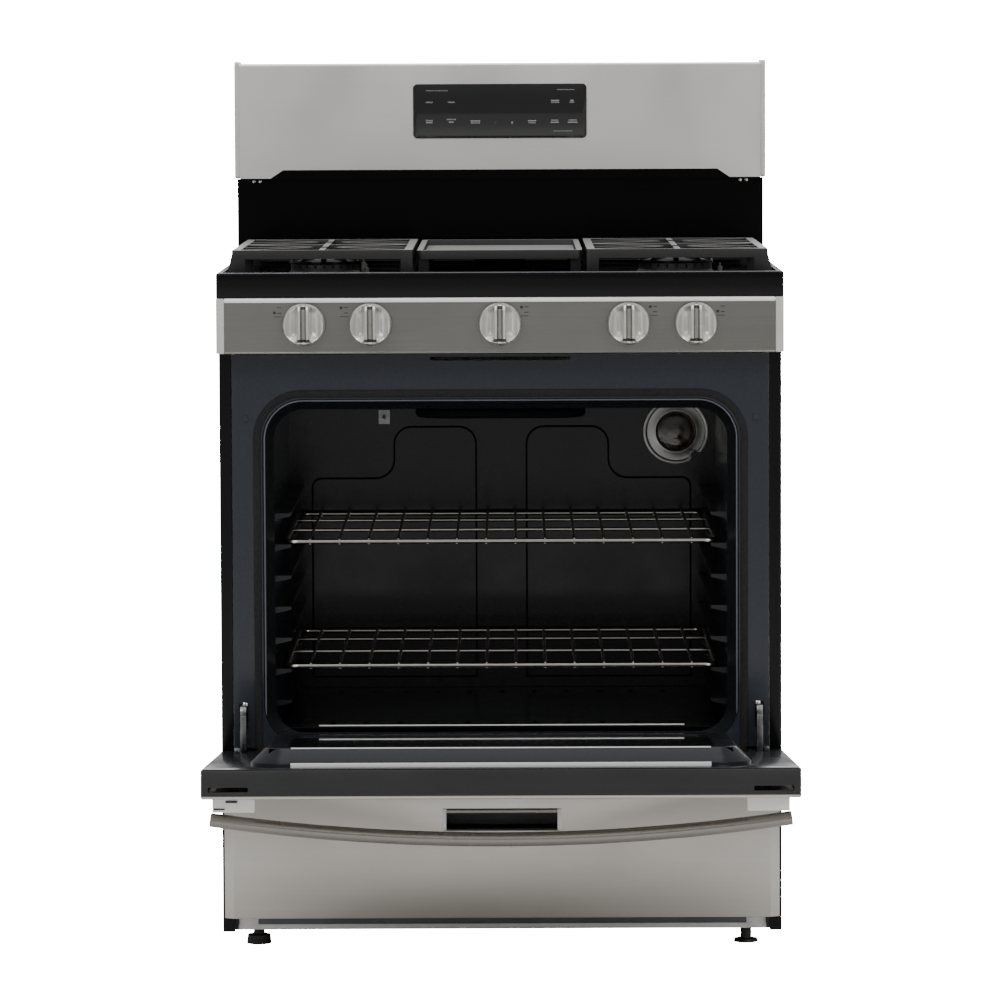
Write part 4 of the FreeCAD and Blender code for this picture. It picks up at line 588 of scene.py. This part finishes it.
def add_turned(mesh, profile, centre, axis="Y", steps=64, index=0):
    """A closed solid from a profile of (radius, along) points, turned about an axis."""
    rings = []
    for radius, along in profile:
        ring = []
        for step in range(steps):
            angle = 2 * math.pi * step / steps
            a, b = radius * math.cos(angle), radius * math.sin(angle)
            spot = {"Y": (a, along, b), "Z": (a, b, along), "X": (along, a, b)}[axis]
            ring.append(mesh.verts.new(Vector(centre) + Vector(spot)))
        rings.append(ring)
    for lower, upper in zip(rings, rings[1:]):
        for step in range(steps):
            after = (step + 1) % steps
            face = mesh.faces.new((lower[step], lower[after], upper[after], upper[step]))
            face.material_index = index
    for ring in (rings[0], rings[-1]):
        mesh.faces.new(ring).material_index = index


# %% [markdown]
# ## Rows made by Geometry Nodes
# Marks, screws and slots come in rows, so one node tree sets copies of a small shape at a set step.
# The result is turned into a plain mesh before it joins the model.

# %% The row tree
def row_tree():
    """Copies of one object along a straight line, made real and given a finish."""
    tree = bpy.data.node_groups.new("row_of_copies", "GeometryNodeTree")
    face = tree.interface
    face.new_socket("Geometry", in_out="INPUT", socket_type="NodeSocketGeometry")
    face.new_socket("Shape", in_out="INPUT", socket_type="NodeSocketObject")
    face.new_socket("Count", in_out="INPUT", socket_type="NodeSocketInt")
    face.new_socket("Start", in_out="INPUT", socket_type="NodeSocketVector")
    face.new_socket("Step", in_out="INPUT", socket_type="NodeSocketVector")
    face.new_socket("Finish", in_out="INPUT", socket_type="NodeSocketMaterial")
    face.new_socket("Geometry", in_out="OUTPUT", socket_type="NodeSocketGeometry")
    nodes, links = tree.nodes, tree.links
    given, result = nodes.new("NodeGroupInput"), nodes.new("NodeGroupOutput")
    line = nodes.new("GeometryNodeMeshLine")
    line.mode = "OFFSET"
    shape = nodes.new("GeometryNodeObjectInfo")
    shape.transform_space = "ORIGINAL"
    copies = nodes.new("GeometryNodeInstanceOnPoints")
    real = nodes.new("GeometryNodeRealizeInstances")
    paint = nodes.new("GeometryNodeSetMaterial")
    links.new(given.outputs["Count"], line.inputs["Count"])
    links.new(given.outputs["Start"], line.inputs["Start Location"])
    links.new(given.outputs["Step"], line.inputs["Offset"])
    links.new(given.outputs["Shape"], shape.inputs["Object"])
    links.new(line.outputs["Mesh"], copies.inputs["Points"])
    links.new(shape.outputs["Geometry"], copies.inputs["Instance"])
    links.new(copies.outputs["Instances"], real.inputs["Geometry"])
    links.new(real.outputs["Geometry"], paint.inputs["Geometry"])
    links.new(given.outputs["Finish"], paint.inputs["Material"])
    links.new(paint.outputs["Geometry"], result.inputs["Geometry"])
    return tree


ROWS = row_tree()
SOCKETS = {item.name: item.identifier for item in ROWS.interface.items_tree if item.in_out == "INPUT"}


def row_mesh(shape, count, start, step, finish):
    """The plain mesh that the row tree makes."""
    carrier = bpy.data.objects.new("row_carrier", bpy.data.meshes.new("row_carrier"))
    bpy.context.scene.collection.objects.link(carrier)
    modifier = carrier.modifiers.new("row", "NODES")
    modifier.node_group = ROWS
    modifier[SOCKETS["Shape"]] = shape
    modifier[SOCKETS["Count"]] = count
    modifier[SOCKETS["Start"]] = start
    modifier[SOCKETS["Step"]] = step
    modifier[SOCKETS["Finish"]] = finish
    bpy.context.view_layer.update()
    graph = bpy.context.evaluated_depsgraph_get()
    plain = bpy.data.meshes.new_from_object(carrier.evaluated_get(graph))
    bpy.data.objects.remove(carrier)
    return plain


def rows_object(name, rows, finish, angle=35):
    """One object from several rows, each (shape, count, start, step)."""
    mesh = bmesh.new()
    for shape, count, start, step in rows:
        mesh.from_mesh(row_mesh(shape, count, start, step, finish))
    return mesh_object(name, mesh, finish, angle=angle)


def shape_of(name, build):
    """A small hidden shape that rows copy."""
    mesh = bmesh.new()
    build(mesh)
    piece = mesh_object(name, mesh)
    SHAPES.append(piece)
    return piece


SHAPES = []

# %% [markdown]
# ## The knobs
# A burner knob is a zinc casting with a brushed coat. A disc carries a grip that stands up across it
# as two ridges with a channel between, and each side of the grip is scooped for the fingers. The
# shape is a height over a disc: a polar sheet of points, closed by a flat back. A dark dot at the top
# of the channel is the pointer.

# %% The knob surface
KNOB_RINGS = 58
KNOB_STEPS = 144


def ramp(value, low, high):
    share = min(1.0, max(0.0, (value - low) / (high - low)))
    return share * share * (3 - 2 * share)


def knob_height(across, up, radius, tall):
    """How far the knob stands from its back at a point of its face."""
    away = math.hypot(across, up) / radius
    rim = 0.36 * tall * (1 - ramp(away, 0.93, 1.0) * 0.45)
    beside = ramp(abs(across) / radius, 0.32, 0.96)
    scoop = 0.20 * tall * math.sin(math.pi * beside) * (1 - ramp(away, 0.86, 0.94))
    base = rim - scoop
    top = tall * (1.0 - 0.16 * ramp(away, 0.70, 0.97))
    ridge = 1 - ramp(abs(across) / radius, 0.235, 0.42)
    ends = 1 - ramp(away, 0.90, 0.985)
    channel = 0.34 * tall * (1 - ramp(abs(across) / radius, 0.07, 0.15))
    foot = 1 - 0.55 * ramp(-up / radius, 0.66, 0.72)
    return base + (top - base) * ridge * ends * foot - channel * ridge * ends


def make_knob(name):
    low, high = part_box(f"knob_{name}")
    radius = (high.x - low.x) / 2
    tall = high.y - low.y
    centre = Vector(((low.x + high.x) / 2, high.y, (low.z + high.z) / 2))
    mesh = bmesh.new()
    rings = [[mesh.verts.new(centre + Vector((0, -knob_height(0, 0, radius, tall), 0)))]]
    for number in range(1, KNOB_RINGS + 1):
        reach = radius * number / KNOB_RINGS
        ring = []
        for step in range(KNOB_STEPS):
            angle = 2 * math.pi * step / KNOB_STEPS
            x, z = reach * math.cos(angle), reach * math.sin(angle)
            ring.append(mesh.verts.new(centre + Vector((x, -knob_height(x, z, radius, tall), z))))
        rings.append(ring)
    rings.append([mesh.verts.new(Vector((v.co.x, centre.y, v.co.z))) for v in rings[-1]])
    for step in range(KNOB_STEPS):
        mesh.faces.new((rings[0][0], rings[1][(step + 1) % KNOB_STEPS], rings[1][step]))
    for inner, outer in zip(rings[1:], rings[2:]):
        for step in range(KNOB_STEPS):
            after = (step + 1) % KNOB_STEPS
            mesh.faces.new((inner[step], inner[after], outer[after], outer[step]))
    mesh.faces.new(rings[-1])
    for face in mesh.faces:
        spot = face.calc_center_median() - centre
        beside = abs(spot.x) / radius
        up = spot.z / radius
        if beside < 0.10 and 0.72 < up < 0.88:
            face.material_index = 1
        # A patch at the lower end of the grip: painted shadow.
        elif beside < 0.30 and -0.82 < up < -0.70:
            face.material_index = 2
        # The channel between the ridges: painted shade in a darker copy of the knob metal.
        elif beside < 0.13 and -0.70 < up < 0.72:
            face.material_index = 3
    looks = [FINISH[look] for look in ("knob_metal", "mark_black", "knob_shade", "painted_channel_shade")]
    piece = mesh_object(f"burner_knob_{name}", mesh, *looks, angle=60)
    return place_piece(piece, body_of(f"knob_{name}"), "knob_metal", f"knob_{name}")


# A dark metal for the painted shadow under the lower end of the grip; the grey print lines of the burner
# plans use it too.
FINISH["knob_shade"] = finish_of(
    "knob_shade", (0.06, 0.058, 0.055), (0.10, 0.097, 0.09), (0.35, 0.5), 0.6, scale=60.0)
# A darker copy of the knob metal: painted shade in the channel of the grip.
FINISH["painted_channel_shade"] = finish_of(
    "painted_channel_shade", (0.40, 0.39, 0.36), (0.50, 0.49, 0.46), (0.3, 0.42), 0.9, scale=60.0)
for name in KNOBS:
    piece = make_knob(name)
    print(piece.name, "faces", len(piece.data.polygons))

# %% [markdown]
# ## Marks on the fascia and on the touch panel
# Each knob has a tiny plan of the burners beside it: a filled square for its own burner and thin
# lines for the others. The touch panel carries plain grey key marks without words.

# %% The burner plans
low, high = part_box("control_panel")
FASCIA_Y = low.y
THIN = 0.15 * MM


def flat_mark(name, wide, tall, deep=THIN):
    low, high = (-wide / 2, -deep, -tall / 2), (wide / 2, deep, tall / 2)
    return shape_of(name, lambda mesh: add_slab(mesh, low, high))


square = flat_mark("plan_square", 3.6 * MM, 3.4 * MM)
dash = flat_mark("plan_dash", 5.4 * MM, 1.1 * MM)
long_dash = flat_mark("plan_long_dash", 10.5 * MM, 1.2 * MM)
# The plan stands beside its knob and above the knob's axis.
PLAN_OUT, PLAN_UP = 34 * MM, 19 * MM
black_rows, grey_rows = [], []
for name in KNOBS:
    low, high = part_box(f"knob_{name}")
    middle = (low.x + high.x) / 2
    side = -1 if name.startswith("left") else 1
    x = middle + side * PLAN_OUT
    z = (low.z + high.z) / 2 + PLAN_UP
    own = -1 if "rear" in name or name == "centre" else 1
    black_rows.append((square, 1, (x - 5 * MM, FASCIA_Y, z + 3.2 * MM * -own), (0, 0, 0)))
    black_rows.append((dash, 2, (x + 1.5 * MM, FASCIA_Y, z - 3.6 * MM), (0, 0, 7.2 * MM)))
    grey_rows.append((long_dash, 1, (x - 1 * MM, FASCIA_Y, z - 8.5 * MM), (0, 0, 0)))
plans = rows_object("burner_plans", black_rows, FINISH["mark_black"])
place_piece(plans, "cabinet", "black_trim")
lines = rows_object("burner_plan_lines", grey_rows, FINISH["knob_shade"])
place_piece(lines, "cabinet", "black_trim")

# %% [markdown]
# The key marks are short runs of bars. Each entry below is a place across and up the panel, in
# millimetres from the middle and the lower edge, and a count of bars.

# %% The touch panel marks
low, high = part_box("clock_control")
GLASS_Y = low.y
middle_x = (low.x + high.x) / 2
tick = flat_mark("key_tick", 1.0 * MM, 2.0 * MM)
wide_key = flat_mark("key_wide", 2.4 * MM, 1.6 * MM)
small = flat_mark("label_tick", 1.4 * MM, 1.0 * MM)
rows = []


def key(x, z, count, shape=tick, step=1.7):
    """A key mark: a short run of small bars centred on a spot."""
    start = middle_x + (x - step * (count - 1) / 2) * MM
    rows.append((shape, count, (start, GLASS_Y, low.z + z * MM), (step * MM, 0, 0)))


TICK_KEYS = (
    (-101, 51.5, 6), (-69.5, 51.5, 6), (79, 51, 7), (103, 51, 4), (-101, 25.5, 6),
    (-69.5, 27, 8), (-35, 22, 8), (46, 22, 6), (78.5, 25.5, 6), (104, 25.5, 7),
)
WIDE_KEYS = (
    (79, 53.6, 5), (103, 53.6, 2), (-101, 22.6, 4), (-69.5, 23.2, 3),
    (-35, 24.8, 6), (46, 24.8, 5), (78.5, 22.4, 5), (104, 22.4, 6),
)
GROUP_LABELS = ((-90, 68, 15), (94, 69, 12), (90, 10, 13))
for x, z, count in TICK_KEYS:
    key(x, z, count)
for x, z, count in WIDE_KEYS:
    key(x, z, count, wide_key, 2.3)
for x, z, count in GROUP_LABELS:
    key(x, z, count, small, 2.1)
STOP_KEY = 17.5
key(STOP_KEY, 23, 1, wide_key)
key(STOP_KEY + 0.01, 21.6, 1, wide_key)
marks = rows_object("touch_marks", rows, FINISH["mark_grey"])
place_piece(marks, "cabinet", "touch_glass")
start_key = (middle_x - 6.5 * MM, GLASS_Y, low.z + 22 * MM)
red_rows = [(wide_key, 1, start_key, (0, 0, 0)), (tick, 1, start_key, (0, 0, 0))]
red = rows_object("touch_start_mark", red_rows, FINISH["mark_red"])
place_piece(red, "cabinet", "touch_glass")
print("marks", len(marks.data.polygons), "faces")

# %% [markdown]
# ## The oven lamp
# The lamp sits in a spun ring on the back wall. The ring has a rolled rim, a step and a notch for
# the finger that turns it. The lens is dark amber glass over the bulb.

# %% The lamp
low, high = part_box("oven_lamp")
LAMP_CENTRE = Vector(((low.x + high.x) / 2, 0, (low.z + high.z) / 2))
face_y = low.y
r = (high.x - low.x) / 2
FINISH["amber_glass"] = finish_of(
    "amber_lens", (0.035, 0.018, 0.008), (0.09, 0.05, 0.02), (0.05, 0.12), 0.0, scale=40.0, Coat_Weight=1.0,
    Coat_Roughness=0.03)
mesh = bmesh.new()
back_y = face_y + 7.6 * MM
# From the back, around the rolled rim and in over the step: share of the radius, and depth.
profile = [
    (r * 0.58, back_y), (r * 0.985, back_y), (r, back_y - 2 * MM), (r, face_y + 2 * MM),
    (r * 0.985, face_y + 0.6 * MM), (r * 0.94, face_y), (r * 0.90, face_y + 0.4 * MM),
    (r * 0.87, face_y + 1.6 * MM), (r * 0.70, face_y + 1.4 * MM), (r * 0.66, face_y + 0.6 * MM),
    (r * 0.615, face_y + 0.4 * MM), (r * 0.585, face_y + 1.6 * MM), (r * 0.58, face_y + 3 * MM),
]
NOTCH_AT = math.radians(308)
NOTCH_HALF, NOTCH_END = math.radians(6), math.radians(9)
NOTCH_DEEP = 0.17
rings = []
STEPS = 96
for radius, along in profile:
    ring = []
    for step in range(STEPS):
        angle = 2 * math.pi * step / STEPS
        near = abs(angle - NOTCH_AT)
        cut = 1 - NOTCH_DEEP * (1 - ramp(near, NOTCH_HALF, NOTCH_END)) * (radius > r * 0.86)
        ring.append(mesh.verts.new(LAMP_CENTRE + Vector((radius * cut * math.cos(angle), along,
                                                         radius * cut * math.sin(angle)))))
    rings.append(ring)
for lower, upper in zip(rings, rings[1:] + rings[:1]):
    for step in range(STEPS):
        after = (step + 1) % STEPS
        mesh.faces.new((lower[step], lower[after], upper[after], upper[step]))
ring_piece = mesh_object("lamp_cover_ring", mesh, FINISH["lamp_ring"])
place_piece(ring_piece, "cabinet", "lamp_ring", "oven_lamp")
mesh = bmesh.new()
lens = [
    (0.02 * r, face_y + 1.2 * MM), (r * 0.10, face_y + 1.2 * MM), (r * 0.22, face_y + 1.6 * MM),
    (r * 0.32, face_y + 2.6 * MM), (r * 0.42, face_y + 2.2 * MM), (r * 0.50, face_y + 3.4 * MM),
    (r * 0.578, face_y + 4.8 * MM), (r * 0.578, back_y),
]
add_turned(mesh, lens, LAMP_CENTRE)
lens_piece = mesh_object("lamp_lens", mesh, FINISH["amber_glass"], angle=50)
place_piece(lens_piece, "cabinet", "lamp_ring")
print("lamp ring", len(ring_piece.data.polygons), "lens", len(lens_piece.data.polygons))

# %% [markdown]
# ## Screws
# One pan head is built and set in two pairs, near the upper corners of the black splash sheet.

# %% A pan head and its rows
def pan_head(mesh, radius=2.6 * MM, tall=1.2 * MM):
    steps = 32
    profile = [(radius, 0.0), (radius, -0.35 * tall), (radius * 0.9, -0.75 * tall), (radius * 0.68, -tall),
               (radius * 0.02, -tall)]
    add_turned(mesh, profile, (0, 0, 0), steps=steps)


head = shape_of("pan_head", pan_head)
splash_low, splash_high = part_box("backguard_splash")
screw_z = splash_high.z - 26 * MM
screw_y = splash_low.y + 8 * MM
rows = [(head, 2, (splash_low.x + 24 * MM, screw_y, screw_z), (9 * MM, 0, 0)),
        (head, 2, (splash_high.x - 33 * MM, screw_y, screw_z), (9 * MM, 0, 0))]
screws = rows_object("splash_screws", rows, FINISH["zinc"])
place_piece(screws, "cabinet", "zinc")
print("screws", len(screws.data.polygons))
for shape in SHAPES:
    bpy.data.objects.remove(shape)

# %% [markdown]
# ## Painted highlights along the bends
# Bent sheet shows a bright line where it turns. Each line is painted here as a thin strip with
# rounded edges set on the sheet: along the top and foot of the fascia, on the rim of the cooktop, on
# the lip of the base rail, around the drawer pull, on the lip of the oven floor, on the strip that
# holds the door's inner window and on the edge of the door's raised panel. The corner brackets of
# the base are real pieces, drawn in the near-white of a painted highlight.

# %% Strips along the bends
def strip(name, body, slot, finish, *boxes, round_by=0.5 * MM):
    mesh = bmesh.new()
    for low, high in boxes:
        add_slab(mesh, low, high, round_by)
    piece = mesh_object(name, mesh, FINISH[finish])
    return place_piece(piece, body, slot)


low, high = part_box("control_panel")
strip("fascia_top_edge", "cabinet", "fascia_steel", "painted_highlight",
      ((low.x, low.y - 1.6 * MM, high.z - 6.0 * MM), (high.x, low.y + 3 * MM, high.z + 0.2 * MM)),
      round_by=2.0 * MM)
strip("fascia_foot_edge", "cabinet", "fascia_steel", "shaded_steel",
      ((low.x, low.y - 0.4 * MM, low.z + 0.1 * MM), (high.x, low.y + 2 * MM, low.z + 2.0 * MM)),
      round_by=0.35 * MM)
low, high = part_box("cooktop_panel")
inset = 6 * MM
strip("cooktop_rim_edge", "cabinet", "black_enamel", "highlight_enamel",
      ((low.x + inset, low.y - 0.1 * MM, high.z - 1.0 * MM),
       (high.x - inset, low.y + 1.6 * MM, high.z + 0.4 * MM)),
      round_by=0.5 * MM)
low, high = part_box("base_frame")
inner = 18 * MM
strip("base_rail_lip", "cabinet", "galvanised", "painted_highlight",
      ((low.x + inner, low.y - 0.8 * MM, low.z + 0.2 * MM),
       (high.x - inner, low.y + 1 * MM, low.z + 7.5 * MM)))
corner = []
for side in SIDES.values():
    outer = high.x - 19 * MM
    a, b = sorted((outer * side, (outer - 26 * MM) * side))
    corner.append(((a, low.y - 1.6 * MM, low.z + 0.3 * MM), (b, low.y + 1 * MM, high.z - 1 * MM)))
strip("base_corner_brackets", "cabinet", "galvanised", "painted_highlight", *corner)
low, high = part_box("drawer_pull")
top_z = high.z
jamb = 4 * MM
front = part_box("drawer_front")[0].y
strip("pull_frame", "drawer", "stainless", "painted_highlight",
      ((low.x - 1 * MM, front - 0.8 * MM, low.z), (low.x + jamb, front + 3 * MM, top_z)),
      ((high.x - jamb, front - 0.8 * MM, low.z), (high.x + 1 * MM, front + 3 * MM, top_z)))
strip("pull_shelf", "drawer", "stainless", "shaded_steel",
      ((low.x + jamb, front + 0.2 * MM, top_z - 5.5 * MM), (high.x - jamb, front + 4 * MM, top_z - 1 * MM)))
low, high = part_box("oven_floor_panel")
lip = 46 * MM
strip("floor_lip_edge", "cabinet", "chrome_wire", "painted_highlight",
      ((low.x + lip, low.y - 0.3 * MM, high.z - 1.2 * MM),
       (high.x - lip, low.y + 1.8 * MM, high.z + 0.4 * MM)),
      round_by=0.3 * MM)
low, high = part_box("door_liner")
RETAINER = 0.266
strip("window_retainer", "door", "light_trim", "painted_highlight",
      ((-RETAINER, low.y + 33.2 * MM, high.z - 22.3 * MM),
       (RETAINER, low.y + 34.6 * MM, high.z - 16.5 * MM)),
      round_by=0.3 * MM)
# The upper edge of the raised panel, where its slope meets the flat face of the open door: a painted
# highlight.
EDGE_Y, EDGE_Z = low.y + 54.7 * MM, high.z
strip("raised_panel_edge", "door", "blue_enamel", "painted_highlight",
      ((-RETAINER, EDGE_Y - 0.9 * MM, EDGE_Z - 0.9 * MM), (RETAINER, EDGE_Y + 0.9 * MM, EDGE_Z + 0.6 * MM)),
      round_by=0.4 * MM)

# %% [markdown]
# ## The seal and the rolled edge of the mouth
# The seal is a woven rope, flattened where it lies on the face frame. Behind it the enamelled mouth
# turns inward over a rolled edge, drawn as a thin bead in a lighter enamel: a painted highlight.
# Both are one section carried up one side, around and down again.

# %% A section carried around the mouth
def arch(half, low_z, high_z, bend, y, turns=12):
    """Points up the left side, around both upper corners and down the right side."""
    points = [Vector((-half, y, low_z))]
    for side, first in ((-1, math.pi), (1, math.pi / 2)):
        middle = Vector(((half - bend) * side, y, high_z - bend))
        for step in range(turns + 1):
            angle = first - math.pi / 2 * step / turns
            points.append(middle + Vector((bend * math.cos(angle), 0, bend * math.sin(angle))))
    points.append(Vector((half, y, low_z)))
    return points


def add_rope(mesh, points, wide, deep, sides=16):
    """An oval section swept along points that lie in one upright plane."""
    rings = []
    for index, point in enumerate(points):
        before = points[max(index - 1, 0)]
        after = points[min(index + 1, len(points) - 1)]
        along = (after - before).normalized()
        across = along.cross(Vector((0, 1, 0)))
        ring = []
        for step in range(sides):
            angle = 2 * math.pi * step / sides
            ring.append(mesh.verts.new(point + across * wide * math.cos(angle)
                                       + Vector((0, deep * math.sin(angle), 0))))
        rings.append(ring)
    for lower, upper in zip(rings, rings[1:]):
        for step in range(sides):
            after = (step + 1) % sides
            mesh.faces.new((lower[step], lower[after], upper[after], upper[step]))
    mesh.faces.new(rings[0])
    mesh.faces.new(rings[-1])


SEAL_HALF = 5 * MM
MOUTH_BEND = 55 * MM
low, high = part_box("door_gasket")
deep = (high.y - low.y) / 2
mesh = bmesh.new()
add_rope(mesh, arch(high.x - SEAL_HALF, low.z, high.z - SEAL_HALF, MOUTH_BEND + SEAL_HALF, low.y + deep),
         SEAL_HALF, deep)
seal = mesh_object("door_seal", mesh, FINISH["seal"], angle=60)
place_piece(seal, "cabinet", "seal", "door_gasket")
ROLL = 1.3 * MM
ROLL_IN = 14.5 * MM
mesh = bmesh.new()
ROLL_FOOT = 22 * MM
ROLL_DEEP = 4 * MM
path = arch(high.x - ROLL_IN, low.z + ROLL_FOOT, high.z - ROLL_IN, MOUTH_BEND - 3 * MM, high.y + ROLL_DEEP)
add_rope(mesh, path, ROLL, ROLL, 10)
roll = mesh_object("mouth_rolled_edge", mesh, FINISH["highlight_enamel"], angle=60)
place_piece(roll, "cabinet", "cavity_enamel")
print("seal", len(seal.data.polygons), "rolled edge", len(roll.data.polygons))

# %% [markdown]
# ## Shade in the holes of the handle bracket
# The left bracket of the handle has two holes that its screws pass through. Two black marks on its
# face stand for them: painted shade where the holes are.

# %% Bracket holes
low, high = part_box("handle_brackets")
hole_z = high.z - 3.2 * MM
strip("bracket_holes", "door", "black_trim", "mark_black",
      ((low.x + 17 * MM, low.y - 0.2 * MM, hole_z - 3 * MM), (low.x + 32 * MM, low.y + 0.3 * MM, hole_z)),
      ((low.x + 2 * MM, low.y - 0.2 * MM, low.z + 5 * MM),
       (low.x + 16 * MM, low.y + 0.3 * MM, low.z + 7 * MM)),
      round_by=0.1 * MM)

# %% [markdown]
# ## Hinge heads
# Each door hinge ends in a plated rivet head that stands in front of the face frame.

# %% The rivet heads
mesh = bmesh.new()
low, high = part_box("hinge_receivers")
HEAD_X, HEAD_Z = high.x - 12 * MM, high.z - 8.9 * MM
for side in SIDES.values():
    head_x = HEAD_X * side
    front_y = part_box("face_frame")[0].y
    profile = [(4.6 * MM, front_y - 0.2 * MM), (4.6 * MM, front_y - 2.4 * MM), (3.6 * MM, front_y - 4.4 * MM),
               (1.6 * MM, front_y - 5.4 * MM), (0.05 * MM, front_y - 5.6 * MM)]
    add_turned(mesh, profile, (head_x, 0, HEAD_Z), steps=32)
rivets = mesh_object("hinge_rivet_heads", mesh, FINISH["chrome_wire"])
place_piece(rivets, "cabinet", "galvanised")
print("hinge heads", len(rivets.data.polygons))
